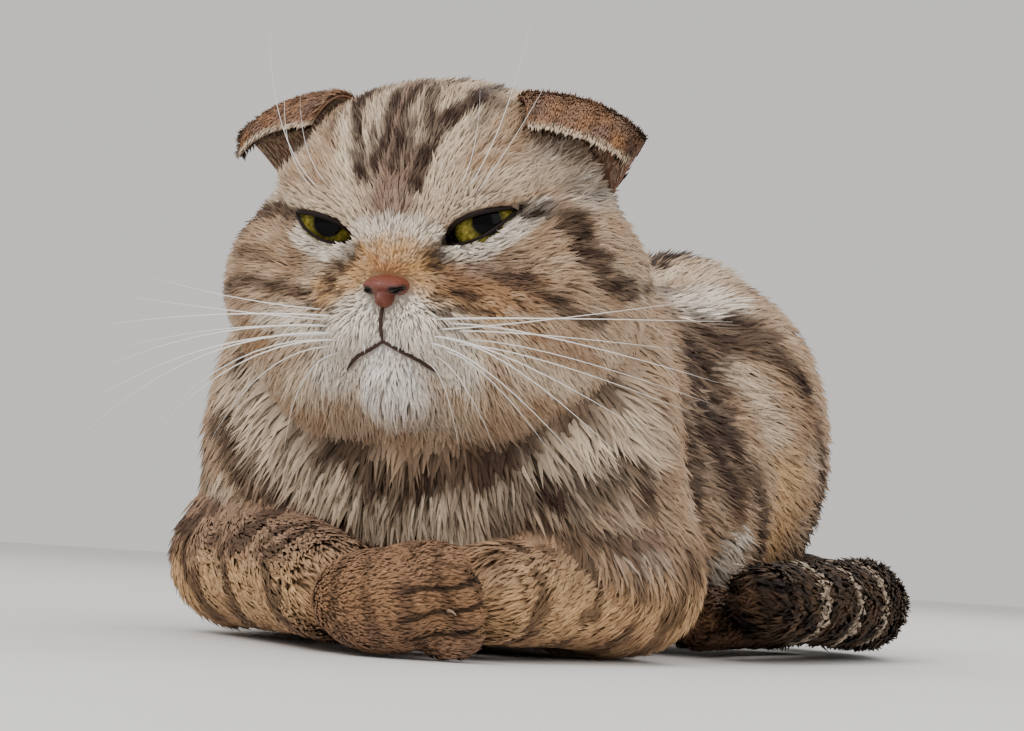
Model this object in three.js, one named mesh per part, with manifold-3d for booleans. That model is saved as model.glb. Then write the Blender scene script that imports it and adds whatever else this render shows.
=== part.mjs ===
// A life-size still model of a Scottish Fold cat that lies on its belly with its forepaws crossed.
// Millimetres, +Z up, the floor at z = 0. The head faces -Y and +X is the cat's left side.
// Each part of the body is a smooth field of named masses. A mesh is wrapped onto that field by rays
// from a line inside it, and the parts are then cut clear of each other by a thin gap.
import * as THREE from "three";
import { mergeVertices } from "three/addons/utils/BufferGeometryUtils.js";
import Module from "manifold-3d";

const wasm = await Module();
wasm.setup();

// Driving dimensions
const GAP = 0.3; // between touching parts
const FLOOR = 0;
const BEND = 0.001; // sideways curve of the spine, in mm for each mm squared
const BEND_FROM = 35; // where along Y the spine runs straight back
const BODY_BLEND = 22; // how softly the masses of the trunk run together
const HEAD_BLEND = 9;
const HEAD_DETAIL = 10;
const LIMB_BLEND = 8;
const PAW_BLEND = 3;

// The head's own frame has its origin between the ears, level with the eyes, and faces -Y too.
const HEAD_AT = [33.6, -129.9, 130.2];
const HEAD_YAW = 8;
const HEAD_PITCH = 14;
const EYE = { x: 25, y: -30.5, z: 6.5, radius: 11 };
const LID = 1.6; // how far the lids stand off the eyeball
const FOREHEAD_TOP = 51;

// Masses of the trunk, along a straight spine. A pair has a twin on the other side.
const TRUNK = [
  { name: "chest", at: [0, -80, 76], radii: [74, 66, 70] },
  { name: "breast", at: [0, -108, 58], radii: [60, 40, 56] },
  { name: "withers", at: [0, -60, 100], radii: [54, 64, 49] },
  { name: "neck", at: [4, -100, 108], radii: [56, 48, 50] },
  { name: "upper_arm", at: [51, -84, 64], radii: [37, 52, 60], pair: true },
  { name: "elbow", at: [62, -70, 34], radii: [29, 38, 34], pair: true },
  { name: "barrel", at: [0, 15, 72], radii: [72, 98, 72] },
  { name: "back", at: [0, 62, 92], radii: [50, 88, 60] },
  { name: "belly", at: [0, 10, 48], radii: [79, 96, 52] },
  { name: "rump", at: [4, 126, 94], radii: [55, 54, 69] },
  { name: "haunch", at: [42, 98, 78], radii: [41, 60, 68], pair: true },
  { name: "knee", at: [58, 44, 48], radii: [26, 40, 42], pair: true },
  { name: "tail_root", at: [0, 160, 58], radii: [26, 30, 32] },
];

// Masses of the head, in its own frame.
const HEAD = [
  { name: "cranium", at: [0, 8, 5], radii: [56, 50, FOREHEAD_TOP - 5] },
  { name: "forehead", at: [0, -14, 17], radii: [38, 26, 30] },
  { name: "cheek", at: [38, -2, -16], radii: [31, 38, 32], pair: true },
  { name: "jowl", at: [26, -16, -34], radii: [28, 30, 25], pair: true },
  { name: "throat", at: [0, -4, -36], radii: [44, 38, 29] },
  { name: "face", at: [0, -26, -18], radii: [30, 24, 24] },
  { name: "muzzle", at: [10, -42.5, -22], radii: [12.5, 14, 11], pair: true },
  { name: "chin", at: [0, -41, -38], radii: [14, 13, 12] },
  { name: "bridge", from: [0, -36, 8], to: [0, -46, -5], radii: [10, 6.5] },
  { name: "brow", at: [24, -30, 19], radii: [16, 12, 9], pair: true },
];
const EYE_MASS = { at: [EYE.x, EYE.y, EYE.z], radii: Array(3).fill(EYE.radius + LID) };

// Opening between the lids, in the head's frame seen from the front: x, z from the inner corner out.
const LID_LINE = {
  inner: [13.2, 1.5],
  outer: [35.6, 11.5],
  upper: [[17, 9.5], [27, 13.0]],
  lower: [[19, 0.2], [29, 1.5]],
};
const NOSE = [
  { name: "nose_top", at: [0, -50.2, -8.9], radii: [5.4, 7.2, 2.7] },
  { name: "nose_wing", at: [4.2, -49.6, -9.8], radii: [2.5, 6.7, 2.5], pair: true },
  { name: "nose_foot", at: [0, -50.4, -12.8], radii: [2.5, 7.3, 3.3] },
];
const NOSE_BLEND = 1.2;
const NOSTRIL = { x: 4.3, y: -55.8, z: -10.4, radii: [1.7, 2.4, 0.9] };
const MOUTH = { depth: 1.3, radius: 1.15 };

// Folded ear: three rows of three control points, from the root over the fold to the free rim.
const EAR_THICK = 3.2;
const EAR_ROWS = [
  [[21, 4, 31], [41, 21, 27], [51, 9, 9]],
  [[29, -3, 55], [57, 19, 58], [72, 6, 41]],
  [[35, -19, 36], [52, -24, 35], [64, -8, 25]],
];

// Limbs in the body's frame. The left forepaw lies behind and over the right one.
const LEGS = {
  left: { elbow: [82, -72, 26], wrist: [70, -148, 20], elbowR: 26, wristR: 18 },
  right: { elbow: [-46, -104, 26], wrist: [24, -168, 19], elbowR: 26, wristR: 18 },
};
const PAWS = {
  left: { palm: [50, -157, 20], tip: [30, -163, 17], radii: [22, 16, 15], tilt: 18 },
  right: { palm: [48, -180, 16], tip: [65, -181, 17], radii: [23, 17, 16], tilt: 62 },
};
const HIND_FOOT = { heel: [60, 122, 16], toes: [70, 18, 14], heelR: 17, toeR: 15 };
const TAIL = {
  path: [[14, 174, 48], [44, 190, 28], [80, 172, 21], [101, 124, 21], [105, 64, 21], [103, 8, 21], [101, -12, 21]],
  rootR: 19,
  midR: 22,
  tipR: 17,
  parts: ["tail_base", "tail_middle", "tail_tip"],
};

// Colours from the photograph
const COAT = { light: 0xb59a80, cream: 0xc8aa84, dark: 0x4a382e, ear: 0x8a6a52 };
const coat = (color) => new THREE.MeshStandardMaterial({ color, roughness: 0.9, metalness: 0 });
const MATERIALS = {
  coat: coat(COAT.light),
  cream: coat(COAT.cream),
  dark: coat(COAT.dark),
  ear: coat(COAT.ear),
  nose: new THREE.MeshStandardMaterial({ color: 0x9a5040, roughness: 0.45, metalness: 0 }),
  eye: new THREE.MeshStandardMaterial({ color: 0x8a8428, roughness: 0.08, metalness: 0 }),
};

const V = (p) => new THREE.Vector3(...p);
const mirrored = ([x, y, z]) => [-x, y, z];
const bendAt = (y) => BEND * (y - BEND_FROM) ** 2;

// Smooth fields: negative inside, about the distance to the surface outside.

function massDistance(mass, p) {
  if (mass.from) {
    const a = V(mass.from);
    const along = V(mass.to).sub(a);
    const t = THREE.MathUtils.clamp(p.clone().sub(a).dot(along) / along.lengthSq(), 0, 1);
    const radius = THREE.MathUtils.lerp(mass.radii[0], mass.radii[1], t);
    return p.distanceTo(a.addScaledVector(along, t)) - radius;
  }
  const q = p.clone().sub(V(mass.at));
  if (mass.turn) q.applyQuaternion(mass.turn);
  const [a, b, c] = mass.radii;
  const near = Math.hypot(q.x / a, q.y / b, q.z / c);
  const slope = Math.hypot(q.x / a ** 2, q.y / b ** 2, q.z / c ** 2);
  return slope > 0 ? (near * (near - 1)) / slope : -Math.min(a, b, c);
}

function blend(a, b, k) {
  const h = THREE.MathUtils.clamp(0.5 + (0.5 * (b - a)) / k, 0, 1);
  return b + (a - b) * h - k * h * (1 - h);
}

function withTwins(masses) {
  return masses.flatMap((m) => (m.pair ? [m, { ...m, at: mirrored(m.at) }] : [m]));
}

function fieldOf(masses, k) {
  const all = withTwins(masses);
  return (p) => all.map((m) => massDistance(m, p)).reduce((a, b) => blend(a, b, k));
}

// How far a ray from inside runs before it leaves the field.
function reach(field, from, direction, grow) {
  const STEPS = 90;
  let t = 0;
  for (let i = 0; i < STEPS; i++) {
    const f = field(from.clone().addScaledVector(direction, t)) - grow;
    if (f > -0.004) break;
    t += Math.max(-f * 0.7, 0.01);
  }
  return t;
}

// Geometry from a grid of points whose first and last rows are single points.
function closedGrid(rows) {
  const positions = [];
  const starts = rows.map((row) => {
    const start = positions.length / 3;
    row.forEach((p) => positions.push(p.x, p.y, p.z));
    return start;
  });
  const index = [];
  for (let i = 0; i + 1 < rows.length; i++) {
    const n = Math.max(rows[i].length, rows[i + 1].length);
    for (let j = 0; j < n; j++) {
      const k = (j + 1) % n;
      const a = starts[i] + (rows[i].length > 1 ? j : 0);
      const b = starts[i] + (rows[i].length > 1 ? k : 0);
      const c = starts[i + 1] + (rows[i + 1].length > 1 ? j : 0);
      const d = starts[i + 1] + (rows[i + 1].length > 1 ? k : 0);
      if (a !== b) index.push(a, b, d);
      if (c !== d) index.push(a, d, c);
    }
  }
  const g = new THREE.BufferGeometry();
  g.setAttribute("position", new THREE.Float32BufferAttribute(positions, 3));
  g.setIndex(index);
  return g;
}

// A mesh wrapped onto a field by rays that leave the line from a to b.
function wrap(field, a, b, rings, around, grow = 0, bent = false) {
  const CAP = 0.26; // share of the rings that close each end
  const axis = b.clone().sub(a).normalize();
  const side = new THREE.Vector3(0, 0, 1).cross(axis).normalize();
  const up = axis.clone().cross(side);
  const rows = [];
  for (let i = 0; i <= rings; i++) {
    const s = i / rings;
    const centre = a.clone().lerp(b, THREE.MathUtils.clamp((s - CAP) / (1 - 2 * CAP), 0, 1));
    const lean = s < CAP ? s / CAP - 1 : s > 1 - CAP ? (s - 1 + CAP) / CAP : 0;
    const tilt = (lean * Math.PI) / 2;
    const pole = i === 0 || i === rings;
    rows.push(
      Array.from({ length: pole ? 1 : around }, (_, j) => {
        const angle = (2 * Math.PI * j) / around;
        const out = side.clone().multiplyScalar(Math.cos(angle)).addScaledVector(up, Math.sin(angle));
        const ray = pole ? axis.clone().multiplyScalar(Math.sign(lean)) : out.multiplyScalar(Math.cos(tilt));
        if (!pole) ray.addScaledVector(axis, Math.sin(tilt));
        const p = centre.clone().addScaledVector(ray, reach(field, centre, ray, grow));
        if (bent) p.x += bendAt(p.y);
        return p;
      }),
    );
  }
  return closedGrid(rows);
}

// A sphere of even triangles wrapped onto the head, with smaller triangles towards the face.
function wrapHead(field, detail, grow) {
  const FACE_PULL = 0.5;
  const g = new THREE.IcosahedronGeometry(1, detail);
  const position = g.getAttribute("position");
  const centre = new THREE.Vector3(0, -6, -8);
  const front = new THREE.Vector3(0, -1, 0);
  for (let i = 0; i < position.count; i++) {
    const d = new THREE.Vector3().fromBufferAttribute(position, i).normalize();
    const angle = d.angleTo(front);
    const turned = angle - FACE_PULL * Math.sin(angle);
    const sideways = d.clone().addScaledVector(front, -d.dot(front));
    if (sideways.lengthSq() > 1e-12) sideways.normalize();
    const ray = front.clone().multiplyScalar(Math.cos(turned)).addScaledVector(sideways, Math.sin(turned));
    ray.normalize();
    const p = centre.clone().addScaledVector(ray, reach(field, centre, ray, grow));
    position.setXYZ(i, p.x, p.y, p.z);
  }
  return g;
}

// Solids

function solid(geometry) {
  const g = geometry.index ? geometry.toNonIndexed() : geometry.clone();
  for (const name of ["normal", "uv"]) g.deleteAttribute(name);
  const merged = mergeVertices(g, 1e-4);
  return new wasm.Manifold(
    new wasm.Mesh({
      numProp: 3,
      vertProperties: new Float32Array(merged.attributes.position.array),
      triVerts: new Uint32Array(merged.index.array),
    }),
  );
}

function largest(made) {
  return made.decompose().reduce((a, b) => (b.volume() > a.volume() ? b : a));
}

function ellipsoid(at, radii, detail, turn) {
  const g = new THREE.IcosahedronGeometry(1, detail);
  g.scale(...radii);
  if (turn) g.applyQuaternion(turn);
  return g.translate(...at);
}

// Everything above the floor, or on one side of a plane through a point.
function slab(point, normal, size = 1200) {
  const g = new THREE.BoxGeometry(size, size, size).translate(0, 0, size / 2);
  const turn = new THREE.Quaternion().setFromUnitVectors(new THREE.Vector3(0, 0, 1), V(normal).normalize());
  g.applyQuaternion(turn);
  return solid(g.translate(...point));
}

const headMatrix = new THREE.Matrix4().compose(
  V(HEAD_AT),
  new THREE.Quaternion().setFromEuler(
    new THREE.Euler(THREE.MathUtils.degToRad(HEAD_PITCH), 0, THREE.MathUtils.degToRad(HEAD_YAW), "ZXY"),
  ),
  new THREE.Vector3(1, 1, 1),
);

const headField = fieldOf([...HEAD, { ...EYE_MASS, pair: true }], HEAD_BLEND);
const trunkField = fieldOf(TRUNK, BODY_BLEND);

// Where a forward line at x, z meets the face.
function faceAt(x, z) {
  const from = new THREE.Vector3(x, -20, z);
  return from.y - reach(headField, from, new THREE.Vector3(0, -1, 0), 0);
}

function headSolid(detail, grow) {
  return solid(wrapHead(headField, detail, grow));
}

// The gap between the lids, cut straight back into the socket.
function lidOpening(side) {
  const { inner, outer, upper, lower } = LID_LINE;
  const x = (v) => side * v;
  const outline = new THREE.Shape();
  outline.moveTo(x(inner[0]), inner[1]);
  outline.bezierCurveTo(x(upper[0][0]), upper[0][1], x(upper[1][0]), upper[1][1], x(outer[0]), outer[1]);
  outline.bezierCurveTo(x(lower[1][0]), lower[1][1], x(lower[0][0]), lower[0][1], x(inner[0]), inner[1]);
  const g = new THREE.ExtrudeGeometry(outline, { depth: 40, bevelEnabled: false, curveSegments: 7 });
  g.rotateX(Math.PI / 2);
  return solid(g.translate(0, EYE.y + 2, 0));
}

function eyeBall(side, grow, detail = 3) {
  return solid(ellipsoid([side * EYE.x, EYE.y, EYE.z], Array(3).fill(EYE.radius + grow), detail));
}

// Nose leather: broad at the top, narrowing to the split of the lip.
function noseSolid(grow) {
  const field = fieldOf(NOSE, NOSE_BLEND);
  return solid(wrap(field, new THREE.Vector3(0, -48, -10.5), new THREE.Vector3(0, -51, -10.5), 9, 14, grow));
}

// A round groove along points on the face.
function groove(points, radius, sides = 6) {
  const onFace = points.map(([x, z]) => new THREE.Vector3(x, faceAt(x, z) + radius - MOUTH.depth, z));
  const path = new THREE.CatmullRomCurve3(onFace, false, "catmullrom", 0.5);
  const section = new THREE.Shape();
  section.absarc(0, 0, radius, 0, 2 * Math.PI);
  const g = new THREE.ExtrudeGeometry(section, {
    steps: 8,
    extrudePath: path,
    bevelEnabled: false,
    curveSegments: sides,
  });
  return solid(g);
}

function mouthGrooves() {
  const lip = (side) => [[0, -26.2], [6, -29.2], [12, -33.8], [17.5, -37.5]].map(([x, z]) => [side * x, z]);
  return [groove([[0, -14.5], [0, -20], [0, -27]], MOUTH.radius * 0.8), groove(lip(1), MOUTH.radius), groove(lip(-1), MOUTH.radius)];
}

// Folded ear as a shell of even thickness over a three by three patch.
function earSolid(side) {
  const NU = 10;
  const NV = 8;
  const weights = (t) => [(1 - t) ** 2, 2 * t * (1 - t), t ** 2];
  const at = (u, v) => {
    const p = new THREE.Vector3();
    weights(v).forEach((wv, j) =>
      weights(u).forEach((wu, i) => {
        const [x, y, z] = EAR_ROWS[j][i];
        p.addScaledVector(new THREE.Vector3(side * x, y, z), wu * wv);
      }),
    );
    return p;
  };
  const normal = (u, v) => {
    const e = 0.01;
    const du = at(Math.min(u + e, 1), v).sub(at(Math.max(u - e, 0), v));
    const dv = at(u, Math.min(v + e, 1)).sub(at(u, Math.max(v - e, 0)));
    return du.cross(dv).normalize().multiplyScalar(-side);
  };
  const layer = (offset) =>
    Array.from({ length: NV + 1 }, (_, j) =>
      Array.from({ length: NU + 1 }, (_, i) => {
        const u = i / NU;
        const v = j / NV;
        const edge = Math.min(1, 6 * Math.min(u, 1 - u, 1 - v) + 0.35);
        return at(u, v).addScaledVector(normal(u, v), offset * edge);
      }),
    );
  const top = layer(EAR_THICK / 2);
  const under = layer(-EAR_THICK / 2);
  const points = [...top.flat(), ...under.flat()];
  const id = (l, j, i) => l * (NU + 1) * (NV + 1) + j * (NU + 1) + i;
  const index = [];
  const quad = (a, b, c, d) => index.push(a, b, c, a, c, d);
  for (let j = 0; j < NV; j++)
    for (let i = 0; i < NU; i++) {
      quad(id(0, j, i), id(0, j + 1, i), id(0, j + 1, i + 1), id(0, j, i + 1));
      quad(id(1, j, i), id(1, j, i + 1), id(1, j + 1, i + 1), id(1, j + 1, i));
    }
  for (let i = 0; i < NU; i++) {
    quad(id(0, 0, i), id(0, 0, i + 1), id(1, 0, i + 1), id(1, 0, i));
    quad(id(0, NV, i + 1), id(0, NV, i), id(1, NV, i), id(1, NV, i + 1));
  }
  for (let j = 0; j < NV; j++) {
    quad(id(0, j + 1, 0), id(0, j, 0), id(1, j, 0), id(1, j + 1, 0));
    quad(id(0, j, NU), id(0, j + 1, NU), id(1, j + 1, NU), id(1, j, NU));
  }
  if (side < 0) for (let i = 0; i < index.length; i += 3) [index[i], index[i + 1]] = [index[i + 1], index[i]];
  const g = new THREE.BufferGeometry();
  g.setAttribute("position", new THREE.Float32BufferAttribute(points.flatMap((p) => p.toArray()), 3));
  g.setIndex(index);
  const made = solid(g);
  if (made.volume() > 0) return made;
  for (let i = 0; i < index.length; i += 3) [index[i], index[i + 1]] = [index[i + 1], index[i]];
  g.setIndex(index);
  return solid(g);
}

// Forearm as a tapered limb that is fuller towards the elbow.
function forearm({ elbow, wrist, elbowR, wristR }, grow = 0) {
  const field = fieldOf([{ from: elbow, to: wrist, radii: [elbowR, wristR] }], LIMB_BLEND);
  return solid(wrap(field, V(elbow), V(wrist), 10, 14, grow));
}

// Forepaw: a palm and four toes fanned across its end.
function pawMasses({ palm, tip, radii, tilt }, spread = 1) {
  const forward = V(tip).sub(V(palm)).normalize();
  const heading = Math.atan2(forward.y, forward.x);
  const turn = new THREE.Quaternion().setFromAxisAngle(new THREE.Vector3(0, 0, 1), -heading);
  const across = new THREE.Vector3(0, 0, 1).cross(forward).normalize();
  const lean = THREE.MathUtils.degToRad(tilt);
  const fan = across.multiplyScalar(-Math.cos(lean)).add(new THREE.Vector3(0, 0, Math.sin(lean)));
  const toes = [-1.5, -0.5, 0.5, 1.5].map((n) => {
    const reachOut = 5.5 - 2 * Math.abs(n);
    const at = V(tip).addScaledVector(fan, n * 7.2 * spread).addScaledVector(forward, reachOut);
    return { at: at.toArray(), radii: [12, 6.6, 8.4], turn };
  });
  return [{ at: palm, radii, turn }, ...toes];
}

function forepaw(spec, grow = 0) {
  const field = fieldOf(pawMasses(spec), PAW_BLEND);
  return solid(wrap(field, V(spec.palm), V(spec.tip), 14, 20, grow));
}

function hindFoot(side, grow = 0) {
  const heel = [side * HIND_FOOT.heel[0] + bendAt(HIND_FOOT.heel[1]), ...HIND_FOOT.heel.slice(1)];
  const toes = [side * HIND_FOOT.toes[0] + bendAt(HIND_FOOT.toes[1]), ...HIND_FOOT.toes.slice(1)];
  const paw = { palm: V(toes).lerp(V(heel), 0.12).toArray(), tip: toes, radii: [22, 16, 14], tilt: 0 };
  const leg = { from: heel, to: toes, radii: [HIND_FOOT.heelR, HIND_FOOT.toeR] };
  const field = fieldOf([leg, ...pawMasses(paw, 1)], PAW_BLEND);
  return solid(wrap(field, V(heel), V(toes), 16, 16, grow));
}

// Tail: rings of changing radius along a curve, closed to a blunt tip.
function tailSolid(grow = 0) {
  const RINGS = 26;
  const AROUND = 14;
  const ROUND_END = 0.075; // share of the length that rounds off each end
  const path = new THREE.CatmullRomCurve3(TAIL.path.map(V), false, "catmullrom", 0.5);
  const frames = path.computeFrenetFrames(RINGS, false);
  const rows = [];
  for (let i = 0; i <= RINGS; i++) {
    const s = i / RINGS;
    const full = s < 0.5 ? THREE.MathUtils.lerp(TAIL.rootR, TAIL.midR, s * 2) : THREE.MathUtils.lerp(TAIL.midR, TAIL.tipR, s * 2 - 1);
    const end = Math.min(s, 1 - s) / ROUND_END;
    const radius = (full + grow) * (end < 1 ? Math.sqrt(1 - (1 - end) ** 2) : 1);
    const centre = path.getPointAt(s);
    const pole = i === 0 || i === RINGS;
    rows.push(
      Array.from({ length: pole ? 1 : AROUND }, (_, j) => {
        const angle = (2 * Math.PI * j) / AROUND;
        return centre
          .clone()
          .addScaledVector(frames.normals[i], pole ? 0 : radius * Math.cos(angle))
          .addScaledVector(frames.binormals[i], pole ? 0 : radius * Math.sin(angle));
      }),
    );
  }
  return { made: solid(closedGrid(rows)), path };
}

// The whole cat, node by node

const model = new THREE.Group();

function addPart(name, made, material) {
  const kept = largest(made).getMesh();
  const g = new THREE.BufferGeometry();
  const vertices = new Float32Array(kept.vertProperties);
  g.setAttribute("position", new THREE.BufferAttribute(vertices, kept.numProp));
  g.setIndex(new THREE.BufferAttribute(new Uint32Array(kept.triVerts), 1));
  const mesh = new THREE.Mesh(g, material);
  mesh.name = name;
  model.add(mesh);
}

const toWorld = (made) => made.transform(headMatrix.elements);
const aboveFloor = slab([0, 0, FLOOR], [0, 0, 1]);
const sides = [
  ["left", 1],
  ["right", -1],
];

// Head, eyes, nose and ears
const headGrown = toWorld(headSolid(HEAD_DETAIL, GAP));
let head = headSolid(HEAD_DETAIL, 0);
for (const [, side] of sides) head = head.subtract(eyeBall(side, GAP, 3)).subtract(lidOpening(side));
head = head.subtract(noseSolid(GAP));
for (const cut of mouthGrooves()) head = head.subtract(cut);
addPart("head", toWorld(head), MATERIALS.coat);

let nose = noseSolid(0);
for (const [, side] of sides) {
  nose = nose.subtract(solid(ellipsoid([side * NOSTRIL.x, NOSTRIL.y, NOSTRIL.z], NOSTRIL.radii, 2)));
}
addPart("nose", toWorld(nose), MATERIALS.nose);
for (const [name, side] of sides) {
  addPart("eye_" + name, toWorld(eyeBall(side, 0)), MATERIALS.eye);
  addPart("ear_" + name, toWorld(earSolid(side)).subtract(headGrown), MATERIALS.ear);
}

// Trunk, parted into neck, torso, upper arms and thighs
const SPINE = [new THREE.Vector3(0, -96, 74), new THREE.Vector3(0, 128, 74)];
const trunk = solid(wrap(trunkField, ...SPINE, 28, 30, 0, true)).intersect(aboveFloor);
const trunkGrown = solid(wrap(trunkField, ...SPINE, 28, 30, GAP, true));
const NECK_CUT = { at: [20, -92, 110], normal: [0.1, -0.75, 0.65] };
const neckSide = slab(NECK_CUT.at, NECK_CUT.normal);
const bodySide = slab(
  NECK_CUT.at.map((v, i) => v - GAP * NECK_CUT.normal[i]),
  NECK_CUT.normal.map((v) => -v),
);
addPart("neck", trunk.intersect(neckSide).subtract(headGrown), MATERIALS.coat);
let torso = trunk.intersect(bodySide).subtract(headGrown);
const LIMB_ROOTS = {
  upper_arm: { at: [64, -82, 56], radii: [42, 44, 54] },
  thigh: { at: [66, 92, 66], radii: [44, 62, 62] },
};
for (const [root, { at, radii }] of Object.entries(LIMB_ROOTS)) {
  for (const [name, side] of sides) {
    const centre = [side * at[0] + bendAt(at[1]), at[1], at[2]];
    const region = solid(ellipsoid(centre, radii, 4));
    const grown = solid(ellipsoid(centre, radii.map((r) => r + GAP), 4));
    addPart(root + "_" + name, torso.intersect(region), MATERIALS.coat);
    torso = torso.subtract(grown);
  }
}

// Feet and tail, cut clear of the trunk and of each other
let taken = trunkGrown;
function addLimb(name, made, grown, material) {
  addPart(name, made.intersect(aboveFloor).subtract(taken), material);
  taken = taken.add(grown);
}
addLimb("forepaw_right", forepaw(PAWS.right), forepaw(PAWS.right, GAP), MATERIALS.coat);
addLimb("forearm_right", forearm(LEGS.right), forearm(LEGS.right, GAP), MATERIALS.cream);
addLimb("forepaw_left", forepaw(PAWS.left), forepaw(PAWS.left, GAP), MATERIALS.coat);
addLimb("forearm_left", forearm(LEGS.left), forearm(LEGS.left, GAP), MATERIALS.cream);
for (const [name, side] of sides) {
  addLimb("hind_foot_" + name, hindFoot(side), hindFoot(side, GAP), MATERIALS.cream);
}
const tail = tailSolid();
const tailFree = tail.made.intersect(aboveFloor).subtract(taken);
const tailCuts = [0.34, 0.67].map((s) => ({ at: tail.path.getPointAt(s), along: tail.path.getTangentAt(s) }));
const behind = ({ at, along }, shift) => slab(at.clone().addScaledVector(along, shift).toArray(), along.clone().negate().toArray(), 90);
const beyond = ({ at, along }, shift) => slab(at.clone().addScaledVector(along, shift).toArray(), along.toArray(), 500);
addPart(TAIL.parts[0], tailFree.subtract(beyond(tailCuts[0], 0)), MATERIALS.coat);
addPart(TAIL.parts[1], tailFree.intersect(beyond(tailCuts[0], GAP)).intersect(behind(tailCuts[1], 0)), MATERIALS.coat);
addPart(TAIL.parts[2], tailFree.intersect(beyond(tailCuts[1], GAP)), MATERIALS.dark);
addPart("torso", torso, MATERIALS.coat);

export default model;
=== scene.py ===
"""The looks of a Scottish Fold cat lying with crossed forepaws: skin, coat, eyes, nose, ears, whiskers."""
import math

import bpy
import numpy as np
from mathutils import Matrix, Vector


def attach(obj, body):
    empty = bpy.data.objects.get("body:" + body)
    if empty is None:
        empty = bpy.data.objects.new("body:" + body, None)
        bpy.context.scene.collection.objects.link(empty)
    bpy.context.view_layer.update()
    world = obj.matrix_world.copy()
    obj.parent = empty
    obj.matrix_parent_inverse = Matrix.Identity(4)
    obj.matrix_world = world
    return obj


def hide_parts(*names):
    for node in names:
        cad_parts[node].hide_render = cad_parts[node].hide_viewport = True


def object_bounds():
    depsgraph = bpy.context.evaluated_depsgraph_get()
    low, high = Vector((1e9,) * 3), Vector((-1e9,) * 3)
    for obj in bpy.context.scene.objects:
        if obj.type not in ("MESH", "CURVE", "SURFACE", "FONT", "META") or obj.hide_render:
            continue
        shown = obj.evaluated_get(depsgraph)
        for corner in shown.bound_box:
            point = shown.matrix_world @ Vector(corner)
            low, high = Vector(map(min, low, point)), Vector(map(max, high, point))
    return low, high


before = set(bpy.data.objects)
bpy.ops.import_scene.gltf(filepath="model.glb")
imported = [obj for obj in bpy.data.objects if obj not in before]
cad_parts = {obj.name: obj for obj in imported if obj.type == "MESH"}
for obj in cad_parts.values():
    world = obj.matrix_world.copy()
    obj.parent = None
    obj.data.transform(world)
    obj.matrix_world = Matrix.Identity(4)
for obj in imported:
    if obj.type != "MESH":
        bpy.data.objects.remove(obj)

CAD_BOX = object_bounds()
RNG = np.random.default_rng(7)
MM = 0.001

# Camera: the photo's viewpoint, in millimetres and degrees
CAMERA_AT = (376.4, -805.5, 30.0)
AZIMUTH, PITCH, ROLL = 25.0, 4.6, 3.5

# The same masses as the solid parts, in millimetres; a pair has a twin on the other side
BEND, BEND_FROM = 0.001, 35
BODY_BLEND, HEAD_BLEND, PAW_BLEND, NOSE_BLEND = 22, 9, 3, 1.2
TOE_STEP = 7.2
HEAD_AT = np.array([33.6, -129.9, 130.2])
EYE_AT = np.array([25.0, -30.5, 6.5])
EYE_R, LID = 11.0, 1.6
TRUNK = [
    ("ball", (0, -80, 76), (74, 66, 70)), ("ball", (0, -108, 58), (60, 40, 56)),
    ("ball", (0, -60, 100), (54, 64, 49)), ("ball", (4, -100, 108), (56, 48, 50)),
    ("pair", (51, -84, 64), (37, 52, 60)), ("pair", (62, -70, 34), (29, 38, 34)),
    ("ball", (0, 15, 72), (72, 98, 72)), ("ball", (0, 62, 92), (50, 88, 60)),
    ("ball", (0, 10, 48), (79, 96, 52)), ("ball", (4, 126, 94), (55, 54, 69)),
    ("pair", (42, 98, 78), (41, 60, 68)), ("pair", (58, 44, 48), (26, 40, 42)),
    ("ball", (0, 160, 58), (26, 30, 32)),
]
HEAD = [
    ("ball", (0, 8, 5), (56, 50, 46)), ("ball", (0, -14, 17), (38, 26, 30)),
    ("pair", (38, -2, -16), (31, 38, 32)), ("pair", (26, -16, -34), (28, 30, 25)),
    ("ball", (0, -4, -36), (44, 38, 29)), ("ball", (0, -26, -18), (30, 24, 24)),
    ("pair", (10, -42.5, -22), (12.5, 14, 11)), ("ball", (0, -41, -38), (14, 13, 12)),
    ("cone", (0, -36, 8), (0, -46, -5), 10, 6.5), ("pair", (24, -30, 19), (16, 12, 9)),
    ("pair", tuple(EYE_AT), (EYE_R + LID,) * 3),
]
NOSE = [
    ("ball", (0, -50.2, -8.9), (5.4, 7.2, 2.7)), ("pair", (4.2, -49.6, -9.8), (2.5, 6.7, 2.5)),
    ("ball", (0, -50.4, -12.8), (2.5, 7.3, 3.3)),
]
LEGS = [((82, -72, 26), (70, -148, 20), 26, 18), ((-46, -104, 26), (24, -168, 19), 26, 18)]
PAWS = [((50, -157, 20), (30, -163, 17), (22, 16, 15), 18),
    ((48, -180, 16), (65, -181, 17), (23, 17, 16), 62)]
HIND_HEEL, HIND_TOES, HEEL_R, TOE_R = (60, 122, 16), (70, 18, 14), 17, 15
TAIL = [(14, 174, 48), (44, 190, 28), (80, 172, 21), (101, 124, 21), (105, 64, 21), (103, 8, 21),
    (101, -12, 21)]
TAIL_R = (19, 22, 17)
EAR_ROWS = np.array([
    [(21, 4, 31), (41, 21, 27), (51, 9, 9)],
    [(29, -3, 55), (57, 19, 58), (72, 6, 41)],
    [(35, -19, 36), (52, -24, 35), (64, -8, 25)],
], float)
# The opening between the lids of each eye: inner corner, upper pair, outer corner, lower pair
LIDS = {
    1: ((13, 1.8), ((17, 9.9), (27, 12.8)), (36.4, 12.8), ((19, 1.8), (29, 2.6))),
    -1: ((14.3, 2.8), ((17, 9.2), (26, 11.4)), (32.6, 10.6), ((18, 0.6), (26, 1.4))),
}

SKIN_CELL = 1.9
# Tufts on the body and on each side of an ear: ten triangles each, under 1.5 million in all
BODY_TUFTS, EAR_OUTER_TUFTS, EAR_INNER_TUFTS = 132000, 5200, 2200

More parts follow.
